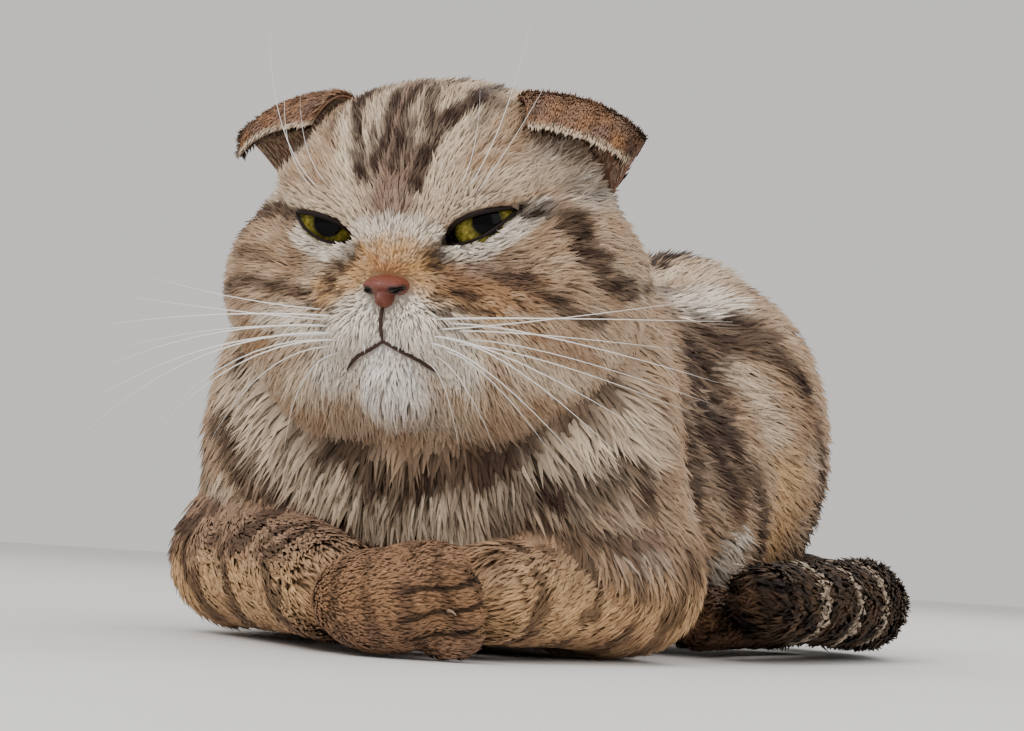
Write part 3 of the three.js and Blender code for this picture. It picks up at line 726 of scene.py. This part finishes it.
def lie(p, near, normal):
    """The way the coat lies at points on the skin."""
    weight = np.exp(-np.clip(near - near.min(-1, keepdims=True), 0, 40) / 4)
    weight /= weight.sum(-1, keepdims=True)
    h = to_head(p)
    out = h - NOSE_TIP
    down = step(-8, -34, h[..., 2])
    away = unit(out * (1, 0.9, 1)) + down[..., None] * np.array([0, 0.2, -0.9])
    ways = [unit(away) @ HEAD_TURN.T]
    s = straighten(p)
    front = step(-0.2, -0.8, normal[..., 1]) * step(-40, -90, s[..., 1])
    back = np.stack([0.1 * np.sign(s[..., 0]), np.ones(len(p)), -0.45 - 0 * s[..., 0]], -1)
    bib = np.stack([0.012 * s[..., 0], 0 * s[..., 0], -np.ones(len(p))], -1)
    ways.append(unit(back + (bib - back) * front[..., None]))
    for elbow, wrist, *_ in LEGS:
        axis = towards(elbow, wrist)
        cap = step(26, -10, (p - elbow) @ axis)[:, None]
        ways.append(unit(axis * (1 - 0.75 * cap) + np.array([0, 0, -1.0]) * (0.25 + 0.9 * cap)))
    for palm, tip, *_ in PAWS:
        ways.append(np.broadcast_to(towards(palm, tip), p.shape))
    for side in (1, -1):
        heel, toes = hind_foot(side)
        ways.append(np.broadcast_to(unit(toes - heel), p.shape))
    ways.append(on_tail(tail_field(p)[1], TAIL_WAY))
    total = sum(weight[:, i : i + 1] * way for i, way in enumerate(ways))
    total = total - normal * (total * normal).sum(-1, keepdims=True)
    return unit(total)


def unwrap(p, near):
    """A map place for each root: every region is laid out round its own middle line."""
    region = near.argmin(-1)
    h = to_head(p)
    out = np.zeros((len(p), 2))
    around = np.arctan2(h[:, 0], -h[:, 1]) / (2 * math.pi) + 0.5
    out[:] = np.c_[around, np.clip((h[:, 2] + 70) / 125, 0, 1)]
    s = straighten(p)
    trunk = np.c_[np.arctan2(s[:, 0], s[:, 2] - 70) / (2 * math.pi) + 0.5,
        np.clip((s[:, 1] + 155) / 350, 0, 1)]
    out = np.where((region == 1)[:, None], trunk, out)
    for i, (elbow, wrist, *_) in enumerate(LEGS):
        for kind in (2 + i, 4 + i):
            axis = towards(elbow, wrist)
            q = p - np.array(elbow)
            side = unit(np.cross(axis, (0, 0, 1)))
            place = np.c_[np.arctan2(q @ side, q[:, 2]) / (2 * math.pi) + 0.5,
                np.clip((q @ axis + 30) / 170, 0, 1)]
            out = np.where((region == kind)[:, None], place, out)
    for i, side in enumerate((1, -1)):
        heel, toes = hind_foot(side)
        q = p - heel
        place = np.c_[np.arctan2(q[:, 0], q[:, 2]) / (2 * math.pi) + 0.5, np.clip((20 - q[:, 1]) / 160, 0, 1)]
        out = np.where((region == 6 + i)[:, None], place, out)
    along = tail_field(p)[1]
    side = unit(np.cross(on_tail(along, TAIL_WAY), (0, 0, 1)))
    q = p - on_tail(along, TAIL_PATH)
    place = np.c_[np.arctan2((q * side).sum(1), q[:, 2]) / (2 * math.pi) + 0.5, along]
    return np.where((region == 8)[:, None], place, out)


TUFT_FACES = np.array([
    (0, 1, 4), (0, 4, 3), (1, 2, 5), (1, 5, 4), (2, 0, 3), (2, 3, 5), (3, 4, 6), (4, 5, 6), (5, 3, 6),
    (0, 2, 1),
])


def add_coat(name, root, normal, flow, length, width, lift, colour, place, droop=0.5):
    """A mesh of tufts: each is a tapered three-sided lock that rises from the skin and lies back along it."""
    n = len(root)
    side = unit(np.cross(normal, flow))
    rise = flow * np.cos(lift)[:, None] + normal * np.sin(lift)[:, None]
    later = flow * np.cos(lift * droop)[:, None] + normal * np.sin(lift * droop)[:, None]
    start = root - normal * 0.8 - rise * 0.4
    middle = root + rise * (length * 0.45)[:, None]
    tip = middle + later * (length * 0.55)[:, None]
    verts = np.empty((n, 7, 3))
    for ring, (centre, part) in enumerate(((start, 1.0), (middle, 0.82))):
        half = (width * part / 2)[:, None]
        verts[:, ring * 3] = centre - side * half
        verts[:, ring * 3 + 1] = centre + side * half
        verts[:, ring * 3 + 2] = centre + normal * half * 0.9
    verts[:, 6] = tip
    verts[..., 2] = np.maximum(verts[..., 2], 0.15)
    faces = (np.arange(n)[:, None, None] * 7 + TUFT_FACES).reshape(-1, 3)
    obj = make_mesh(name, verts.reshape(-1, 3), faces)
    mesh = obj.data
    shade = np.array([0.62, 0.62, 0.62, 1.0, 1.0, 1.0, 1.12])
    set_colour(obj, np.clip(colour[:, None, :] * shade[None, :, None], 0, 1).reshape(-1, 3))
    corner = np.empty(len(mesh.loops), np.int32)
    mesh.loops.foreach_get("vertex_index", corner)
    tuft, part = corner // 7, corner % 7
    patch = np.array([(0, 0), (1, 0), (0.5, 0), (0, 0.6), (1, 0.6), (0.5, 0.6), (0.5, 1)]) - 0.5
    uv = np.clip(place, 0.003, 0.997)[tuft] + patch[part] * 0.003
    layer = mesh.uv_layers.new(name="OFBake")
    layer.data.foreach_set("uv", uv.astype(np.float32).ravel())
    out = np.repeat(normal, 7, 0).reshape(n, 7, 3) * 0.75
    out[:, [0, 3]] -= side[:, None] * 0.55
    out[:, [1, 4]] += side[:, None] * 0.55
    out[:, 6] += flow * 0.25
    mesh.normals_split_custom_set_from_vertices(unit(out).reshape(-1, 3).astype(np.float32))
    mesh.materials.append(FUR)
    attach(obj, "root")
    return obj


def by_region(kind, head, trunk, arm, paw, foot, tail):
    return np.select([kind == 0, kind == 1, kind <= 3, kind <= 5, kind <= 7], [head, trunk, arm, paw, foot],
        tail)


def face_share(h):
    return step(10, -22, h[..., 1])


def density(p):
    kind = region_fields(p).argmin(-1)
    value = by_region(kind, *TUFT_DENSITY)
    value = np.where(kind == 0, value + 1.25 * face_share(to_head(p)), value)
    return np.where(p[:, 2] < 1.2, 0.02, value)


MOUTH = [[(-0.5, -14.5), (-0.8, -20), (-0.5, -26)]]
MOUTH += [[(-0.5, -26), (side * 5, -28.8), (side * 10, -31.6), (side * 14.5, -36)] for side in (1, -1)]

root = sample(points, quads, density)
normal = gradient(skin_field, root)
near = region_fields(root)
h = to_head(root)
in_front = h[:, 1] < -24
eye_gap = eye_distance(h, {side: lid_outline(side) for side in (1, -1)})
lip_gap = np.min([outline_distance(h[:, 0], h[:, 2], np.array(line + line[::-1])) for line in MOUTH], 0)
keep = ~(in_front & (eye_gap < 1.2)) & ~(in_front & (np.abs(lip_gap) < 0.7))
keep &= field(h, NOSE, NOSE_BLEND) > 0.5
share = min(1.0, BODY_TUFTS / keep.sum())
keep &= RNG.random(len(keep)) < share * 0.995
root, normal, near, h, eye_gap, lip_gap = (v[keep] for v in (root, normal, near, h, eye_gap, lip_gap))
kind = near.argmin(-1)
flow = lie(root, near, normal)
side = np.cross(normal, flow)
clump = np.where(kind == 0, wander(root, 9, 41), wander(root, 20, 42))
scatter = RNG.normal(size=root.shape) * 0.16 + side * (clump * 0.2)[:, None]
flow = unit(flow + scatter - normal * (scatter * normal).sum(1, keepdims=True))
face = (kind == 0) * face_share(h)
length = by_region(kind, *TUFT_LENGTH)
from_nose = np.linalg.norm(h - (0, -50, -4), axis=1)
short = 2.0 + 3.6 * step(5, 24, from_nose) + 1.6 * step(30, 48, from_nose)
chin = step(-26, -44, h[:, 2]) * step(40, 28, np.abs(h[:, 0]))
short = short + 4.5 * chin
short = short * (0.45 + 0.55 * step(0.5, 7, np.where(h[:, 1] < -24, eye_gap, 20)))
short = np.where(h[:, 1] < -24, np.minimum(short, 1.5 + 0.62 * np.abs(lip_gap)), short)
length = length + (short - length) * face
length *= RNG.uniform(0.75, 1.25, len(root))
width = by_region(kind, *TUFT_WIDTH)
width = width + (0.72 - width) * face
width *= RNG.uniform(0.75, 1.25, len(root)) / math.sqrt(share)
lift = RNG.uniform(0.22, 0.55, len(root)) * by_region(kind, *TUFT_LIFT)
lift += 0.12 * chin
speckle = RNG.random(len(root))
tone = RNG.uniform(0.84, 1.14, len(root)) * np.where(speckle < 0.07, 0.6, 1) * np.where(speckle > 0.93,
    1.25, 1)
colour = paint(root + flow * (length * 0.45)[:, None]) * tone[:, None]
place = unwrap(root, near)
groups = {"head": kind == 0, "trunk": kind == 1, "legs": (kind > 1) & (kind < 8), "tail": kind == 8}
total_tufts = 0
for name, chosen in groups.items():
    ids = np.flatnonzero(chosen)
    ids = ids[np.argsort(root[ids, 0 if name == "head" else 1])]
    for n, part in enumerate(np.array_split(ids, max(1, math.ceil(len(ids) / PIECE_TUFTS)))):
        add_coat(f"coat_{name}_{n + 1}", root[part], normal[part], flow[part], length[part], width[part],
                 lift[part], colour[part], place[part])
        total_tufts += len(part)

# Ears: a thin folded shell with a coat of very short hair


def ear_at(u, v, side):
    wu = np.stack([(1 - u) ** 2, 2 * u * (1 - u), u**2], -1)
    wv = np.stack([(1 - v) ** 2, 2 * v * (1 - v), v**2], -1)
    return np.einsum("...j,...i,jik->...k", wv, wu, EAR_ROWS) * (side, 1, 1)


def ear_normal(u, v, side):
    e = 0.01
    du = ear_at(u + e, v, side) - ear_at(u - e, v, side)
    dv = ear_at(u, v + e, side) - ear_at(u, v - e, side)
    return unit(np.cross(dv, du)) * side


def ear_paint(u, v, outer):
    q = np.stack([u * 50, v * 50, 0 * u], -1)
    out = mix(np.broadcast_to(COLOURS["rust"], q.shape), COLOURS["grey"], 0.6 + 0.3 * wander(q, 14, 51))
    out = mix(out, COLOURS["dark"], 0.45 * step(0.1, 0.9, wander(q, 10, 52)))
    out = mix(out, COLOURS["dark"], step(0.72, 1.0, u) * step(0.35, 0.75, v) * 0.75)
    out = mix(out, COLOURS["cream"], step(0.93, 0.985, v) * (1 - 0.6 * step(0.8, 1, u)))
    return out if outer else mix(out, COLOURS["cream"], 0.6 + 0 * u)


EAR_HALF = 0.8
NU, NV = 36, 28
for label, side in (("left", 1), ("right", -1)):
    gu, gv = np.meshgrid(np.linspace(0, 1, NU), np.linspace(0, 1, NV))
    mid, out = ear_at(gu, gv, side), ear_normal(gu, gv, side)
    edge = np.minimum(1, 7 * np.minimum(np.minimum(gu, 1 - gu), 1 - gv) + 0.25)[..., None]
    shell = np.concatenate([(mid + out * EAR_HALF * edge).reshape(-1, 3),
        (mid - out * EAR_HALF * edge).reshape(-1, 3)])
    ids = np.arange(NU * NV).reshape(NV, NU)
    top = np.stack([ids[:-1, :-1], ids[1:, :-1], ids[1:, 1:], ids[:-1, 1:]], -1).reshape(-1, 4)
    rim = np.concatenate([ids[0, :-1], ids[:-1, -1], ids[-1, :0:-1], ids[:0:-1, 0]])
    after = np.roll(rim, -1)
    wall = np.stack([rim, after, after + NU * NV, rim + NU * NV], 1)
    faces = np.concatenate([top, top[:, ::-1] + NU * NV, wall])
    if side < 0:
        faces = faces[:, ::-1]
    ear = make_mesh("ear_shell_" + label, from_head(shell), faces)
    # The shell's outer side takes the ear coat's colour at 0.6: painted shade under the short tufts. The
    # inner side is mostly pink skin.
    tone = ear_paint(gu.ravel(), gv.ravel(), True) * 0.6
    set_colour(ear, np.concatenate([tone, tone * 0.3 + rgb("b98a78") * 0.5]))
    ear.data.materials.append(SKIN)
    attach(ear, "root")
    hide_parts("ear_" + label)
    for face_name, count, way in (("outer", EAR_OUTER_TUFTS, 1), ("inner", EAR_INNER_TUFTS, -1)):
        u, v = RNG.uniform(0.01, 0.99, count), RNG.uniform(0.02, 0.99, count)
        at = ear_at(u, v, side) + ear_normal(u, v, side) * way * EAR_HALF * 0.7
        ahead = unit(ear_at(u, v + 0.02, side) - ear_at(u, v - 0.02,
            side) + RNG.normal(size=(count, 3)) * 0.15)
        n = ear_normal(u, v, side) * way
        shade = ear_paint(u, v, way > 0) * RNG.uniform(0.82, 1.15, (count, 1))
        add_coat(f"coat_ear_{face_name}_{label}", from_head(at), n @ HEAD_TURN.T, ahead @ HEAD_TURN.T,
                 RNG.uniform(2.6, 4.2, count), RNG.uniform(0.5, 0.8, count), RNG.uniform(0.15, 0.4, count),
                 shade, np.c_[u, v * 0.48 + (0 if way > 0 else 0.5)])
        total_tufts += count
print("tufts", total_tufts, "triangles", total_tufts * 10)

# Eyes


def link_ramp(tree, source, stops):
    ramp = tree.nodes.new("ShaderNodeValToRGB")
    while len(ramp.color_ramp.elements) < len(stops):
        ramp.color_ramp.elements.new(0.5)
    for element, (at, value) in zip(ramp.color_ramp.elements, stops):
        element.position = at
        element.color = (*rgb(value), 1)
    tree.links.new(source, ramp.inputs["Fac"])
    return ramp


def eye_material():
    """Iris and pupil from the distance to the line of sight, which the mesh carries as a vector."""
    mat, tree, shader = new_material("eye", 0.14, 0.1)
    place = tree.nodes.new("ShaderNodeAttribute")
    place.attribute_name = "sight"
    flat = tree.nodes.new("ShaderNodeVectorMath")
    flat.operation = "MULTIPLY"
    flat.inputs[1].default_value = (1, 1, 0)
    tree.links.new(place.outputs["Vector"], flat.inputs[0])
    reach = tree.nodes.new("ShaderNodeVectorMath")
    reach.operation = "LENGTH"
    tree.links.new(flat.outputs["Vector"], reach.inputs[0])
    noise = add_node(tree, "TexNoise", Scale=9, Detail=5)
    tree.links.new(flat.outputs["Vector"], noise.inputs["Vector"])
    iris = link_ramp(tree, noise.outputs["Fac"], [(0.3, "4f4a16"), (0.5, "786f28"), (0.7, "9c8f3e")])
    mask = link_ramp(tree, reach.outputs["Value"], [
        (0.0, "000000"), (0.38, "000000"), (0.42, "9a9a9a"), (0.58, "ffffff"), (0.8, "c0c0c0"),
        (0.9, "181410"),
    ])
    both = tree.nodes.new("ShaderNodeMix")
    both.data_type = "RGBA"
    both.blend_type = "MULTIPLY"
    both.inputs["Factor"].default_value = 1
    tree.links.new(iris.outputs["Color"], both.inputs["A"])
    tree.links.new(mask.outputs["Color"], both.inputs["B"])
    tree.links.new(both.outputs["Result"], shader.inputs["Base Color"])
    return mat


EYE = eye_material()
WET = plain_material("lid_rim", 0.55, 0.15, rgb("1c1210"))


def loft(rings, closed=False):
    """A tube through rings of equal count; open ends are closed to their centres."""
    count, sides = rings.shape[:2]
    verts = rings.reshape(-1, 3)
    i = np.arange(count if closed else count - 1)
    j = np.arange(sides)
    a = (i[:, None] * sides + j).ravel()
    b = (i[:, None] * sides + (j + 1) % sides).ravel()
    c = ((i[:, None] + 1) % count * sides + (j + 1) % sides).ravel()
    d = ((i[:, None] + 1) % count * sides + j).ravel()
    tris = np.concatenate([np.stack([a, b, c], 1), np.stack([a, c, d], 1)])
    if not closed:
        verts = np.concatenate([verts, rings[0].mean(0)[None], rings[-1].mean(0)[None]])
        base = count * sides
        last = (count - 1) * sides
        tris = np.concatenate([tris, np.stack([j * 0 + base, (j + 1) % sides, j], 1),
                               np.stack([j * 0 + base + 1, last + j, last + (j + 1) % sides], 1)])
    return verts, tris


def tube(path, radius, sides=6, closed=False):
    path = np.asarray(path, float)
    radius = np.broadcast_to(radius, len(path))
    if closed:
        tangent = unit(np.roll(path, -1, 0) - np.roll(path, 1, 0))
    else:
        tangent = unit(np.gradient(path, axis=0))
    first = unit(np.cross(tangent, (0.13, 1, 0.31)))
    second = np.cross(tangent, first)
    angle = np.linspace(0, 2 * math.pi, sides, endpoint=False)
    ring = first[:, None] * np.cos(angle)[None, :, None] + second[:, None] * np.sin(angle)[None, :, None]
    return loft(path[:, None] + ring * radius[:, None, None], closed)


def join_meshes(name, pieces):
    verts, faces, start = [], [], 0
    for v, f in pieces:
        verts.append(v)
        faces.append(f + start)
        start += len(v)
    return make_mesh(name, np.concatenate(verts), np.concatenate(faces))


def finish_piece(obj, material, slot, *nodes):
    obj.data.materials.append(material)
    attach(obj, "root")
    if nodes:
        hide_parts(*nodes)


for label, side, sight in (("left", 1, (3.6, -10.2, 2.9)), ("right", -1, (3.4, -10.5, 1.5))):
    centre = EYE_AT * (side, 1, 1)
    ahead = unit(np.array(sight))
    over = unit(np.cross(np.cross(ahead, (0, 0, 1)), ahead))
    sideways = np.cross(ahead, over)
    rings, around = 40, 56
    polar = np.linspace(0, math.pi, rings + 1)[1:-1]
    turnabout = np.linspace(0, 2 * math.pi, around, endpoint=False)
    grid = np.stack([
        np.sin(polar)[:, None] * np.cos(turnabout), np.sin(polar)[:, None] * np.sin(turnabout),
        np.cos(polar)[:, None] * np.ones(around),
    ], -1)
    bulge = 1 + 0.045 * step(0.75, 0.2, polar)[:, None, None]
    local = grid * bulge * (EYE_R - 0.4)
    verts, faces = loft(local)
    verts[-2:] = [(0, 0, (EYE_R - 0.4) * 1.045), (0, 0, -(EYE_R - 0.4))]
    world_axes = np.stack([sideways, over, ahead])
    eye = make_mesh("eyeball_" + label, from_head(verts @ world_axes + centre), faces)
    layer = eye.data.attributes.new("sight", "FLOAT_VECTOR", "POINT")
    layer.data.foreach_set("vector", (verts / EYE_R).astype(np.float32).ravel())
    finish_piece(eye, EYE, "eye", "eye_" + label)

    ring = lid_outline(side, 0.1, 22) * (side, 1)
    depth = EYE_R + 0.75
    away = np.hypot(ring[:, 0] - centre[0], ring[:, 1] - centre[2])
    y = centre[1] - np.sqrt(np.maximum(depth**2 - away**2, 6))
    path = np.stack([ring[:, 0], y, ring[:, 1]], -1)
    thick = 0.5 + 0.3 * step(0, 3, ring[:, 1] - np.interp(np.abs(ring[:, 0]), (13, 36), (1.5, 11.5)))
    rim = join_meshes("lid_rim_" + label, [tuple(np.array(v) if i else from_head(v) for i,
        v in enumerate(tube(path, thick, 8, True)))])
    finish_piece(rim, WET, "nose")

# Nose leather with its nostrils


def nose_field(p):
    total = field(p, NOSE, NOSE_BLEND)
    x = np.abs(p[..., 0])
    mirrored = np.stack([x, p[..., 1], p[..., 2]], -1)
    hole = ball(mirrored, (4.3, -56.6, -10.4), (1.6, 3.2, 0.9))
    slit = ball(mirrored, (6.2, -55.0, -9.9), (1.8, 3.6, 0.5))
    cleft = ball(mirrored, (0, -59.4, -13.8), (0.45, 1.6, 3.2))
    for cut in (hole, slit, cleft):
        total = -blend(-total, cut, 0.5)
    return total


verts, faces = surface_net(nose_field, (-9, -60, -18), (9, -42, -4), 0.42)
nose = make_mesh("nose_leather", from_head(verts), faces)
NOSE_SKIN, tree, shader = new_material("nose_leather", 0.42, 0.5)
shader.inputs["Subsurface Weight"].default_value = 0.12
shader.inputs["Subsurface Radius"].default_value = (0.0012, 0.0006, 0.0004)
where = tree.nodes.new("ShaderNodeTexCoord")
cells = add_node(tree, "TexVoronoi", Scale=1500)
tree.links.new(where.outputs["Object"], cells.inputs["Vector"])
bump = add_node(tree, "Bump", Strength=0.35, Distance=0.0003)
tree.links.new(cells.outputs["Distance"], bump.inputs["Height"])
tree.links.new(bump.outputs["Normal"], shader.inputs["Normal"])
paint_in = tree.nodes.new("ShaderNodeAttribute")
paint_in.attribute_name = "coat"
tree.links.new(paint_in.outputs["Color"], shader.inputs["Base Color"])
# The nostrils are painted nearly black: painted shade in the holes.
nostril_shade = np.minimum(ball(np.abs(verts) * (1, -1, -1), (4.4, -56, -10.4), (1.9, 4, 1.3)),
                       ball(np.abs(verts) * (1, -1, -1), (6.4, -54.6, -9.9), (1.9, 4, 0.9)))
# Lighter towards the top of the leather: a painted highlight.
tone = mix(np.broadcast_to(rgb("6a3326"), verts.shape), rgb("80483a"), step(-11, -8, verts[:, 2]) * 0.5)
tone = mix(tone, rgb("170b08"), step(0.8, -0.4, nostril_shade))
set_colour(nose, tone)
finish_piece(nose, NOSE_SKIN, "nose", "nose")

# The line of the mouth
pieces = []
for line in MOUTH:
    q = smooth_path([(x, 0, z) for x, z in line], 6)
    q[:, 1] = -30
    for _ in range(60):
        q[:, 1] += np.clip(field(q, HEAD, HEAD_BLEND) + 1.5, -2, 2)
    v, f = tube(q, np.interp(np.linspace(0, 1, len(q)), (0, 0.2, 0.8, 1), (0.45, 0.6, 0.55, 0.2)), 7)
    pieces.append((from_head(v), f))
LIP = plain_material("lip_line", 0.6, 0.3, rgb("3a261f"))
finish_piece(join_meshes("mouth_line", pieces), LIP, "nose")

# Whiskers: root x, z on the head, tip in the head's frame, thickness at the root
WHISKERS = [
    (-15, -19, (-101, -42, -26), 0.32), (-18, -20.5, (-92, -40, -16), 0.25),
    (-16, -22, (-103, -42, -41), 0.32),
    (-20, -23, (-97, -40, -34), 0.28), (-14, -24, (-112, -42, -66), 0.34), (-17, -25, (-108, -42, -53), 0.34),
    (-12, -26, (-92, -42, -74), 0.3), (-19, -27, (-88, -40, -64), 0.3), (-15, -28.5, (-62, -44, -62), 0.24),
    (-12, -30, (-36, -46, -64), 0.22), (-20, -18, (-84, -38, -10), 0.22), (-22, -26, (-100, -36, -48), 0.24),
    (15, -19, (102, -38, -19), 0.32), (18, -20.5, (98, -38, -37), 0.3), (16, -22, (92, -38, -13), 0.26),
    (20, -23, (86, -36, -28), 0.26), (14, -24, (76, -40, -52), 0.32), (17, -25, (69, -40, -60), 0.32),
    (12, -26, (61, -42, -66), 0.28), (19, -27, (88, -36, -46), 0.28), (15, -28.5, (50, -42, -62), 0.24),
    (12, -30, (32, -44, -60), 0.22), (22, -26, (95, -34, -44), 0.22), (10, -32, (22, -50, -58), 0.18),
    (-22, 16, (-36, -48, 66), 0.2), (-20, 18, (-26, -50, 46), 0.18), (-25, 17, (-30, -50, 55), 0.16),
    (19, 18, (30, -50, 48), 0.18), (22, 18, (44, -46, 66), 0.2), (25, 17, (52, -44, 56), 0.16),
]
pieces = []
for x, z, tip, thick in WHISKERS:
    start = np.array([[x, -30.0, z]])
    for _ in range(60):
        start[:, 1] += np.clip(field(start, HEAD, HEAD_BLEND) + 2.6, -2, 2)
    start, tip = start[0], np.array(tip, float)
    out = unit(np.array([0.8 * np.sign(x), -0.55, 0.12 if z < 0 else 0.8]))
    control = start + out * np.linalg.norm(tip - start) * 0.42
    t = np.linspace(0, 1, 12)[:, None]
    path = (1 - t) ** 2 * start + 2 * t * (1 - t) * control + t**2 * tip
    v, f = tube(path, thick * (1 - 0.9 * t[:, 0] ** 1.3), 5)
    pieces.append((from_head(v), f))
HAIR = plain_material("whisker", 0.35, 0.5, rgb("f4f0ea"))
finish_piece(join_meshes("whiskers", pieces), HAIR, "coat")

# One claw at the end of a forward toe
at, way = np.array((75.5, -190, 15)), unit(np.array((0.75, -0.55, 0.1)))
t = np.linspace(0, 1, 7)[:, None]
path = at - way * 2.5 + way * 5.2 * t + np.array([0, 0, -1.8]) * t**2
pieces = [tube(path, 0.5 * (1 - t[:, 0]) ** 0.7 + 0.06, 8)]
CLAW = plain_material("claw", 0.25, 0.5, rgb("94806c"))
finish_piece(join_meshes("claws", pieces), CLAW, "coat")

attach(skin, "root")
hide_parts("head", "neck", "torso", "upper_arm_left", "upper_arm_right", "thigh_left", "thigh_right",
            "forearm_left", "forearm_right", "forepaw_left", "forepaw_right", "hind_foot_left",
            "hind_foot_right", "tail_base", "tail_middle", "tail_tip")

# Floor, light and camera
bpy.ops.mesh.primitive_plane_add(size=8, location=(0, 0, -0.0002))
floor = bpy.context.object
floor.name = "floor"
floor.data.materials.append(plain_material("floor", 0.6, 0.2, (0.8, 0.79, 0.78)))

world = bpy.data.worlds.new("studio")
world.use_nodes = True
world.node_tree.nodes["Background"].inputs["Color"].default_value = (1, 0.98, 0.95, 1)
world.node_tree.nodes["Background"].inputs["Strength"].default_value = 0.75
bpy.context.scene.world = world


def area_light(name, at, target, size, power):
    light = bpy.data.lights.new(name, "AREA")
    light.size = size
    light.energy = power
    obj = bpy.data.objects.new(name, light)
    obj.location = at
    obj.rotation_euler = (Vector(target) - Vector(at)).to_track_quat("-Z", "Y").to_euler()
    bpy.context.scene.collection.objects.link(obj)


area_light("key", (-0.3, -1.5, 1.5), (0, -0.1, 0.1), 1.2, 26)
area_light("fill", (1.6, -0.8, 0.9), (0, -0.1, 0.1), 1.4, 10)
area_light("rim", (0.4, 1.4, 1.4), (0, 0, 0.1), 1.0, 12)

azimuth, pitch, roll = (math.radians(v) for v in (AZIMUTH, PITCH, ROLL))
ahead = Vector((-math.sin(azimuth) * math.cos(pitch), math.cos(azimuth) * math.cos(pitch), math.sin(pitch)))
right = Vector((math.cos(azimuth), math.sin(azimuth), 0))
up = right.cross(ahead)
right_rolled = right * math.cos(roll) + up * math.sin(roll)
up_rolled = up * math.cos(roll) - right * math.sin(roll)
lens = bpy.data.cameras.new("camera")
lens.lens, lens.sensor_width = 85, 36
camera = bpy.data.objects.new("camera", lens)
camera.matrix_world = Matrix([
    (right_rolled[i], up_rolled[i], -ahead[i], CAMERA_AT[i] * MM) for i in range(3)
] + [(0, 0, 0, 1)])
bpy.context.scene.collection.objects.link(camera)
bpy.context.scene.camera = camera
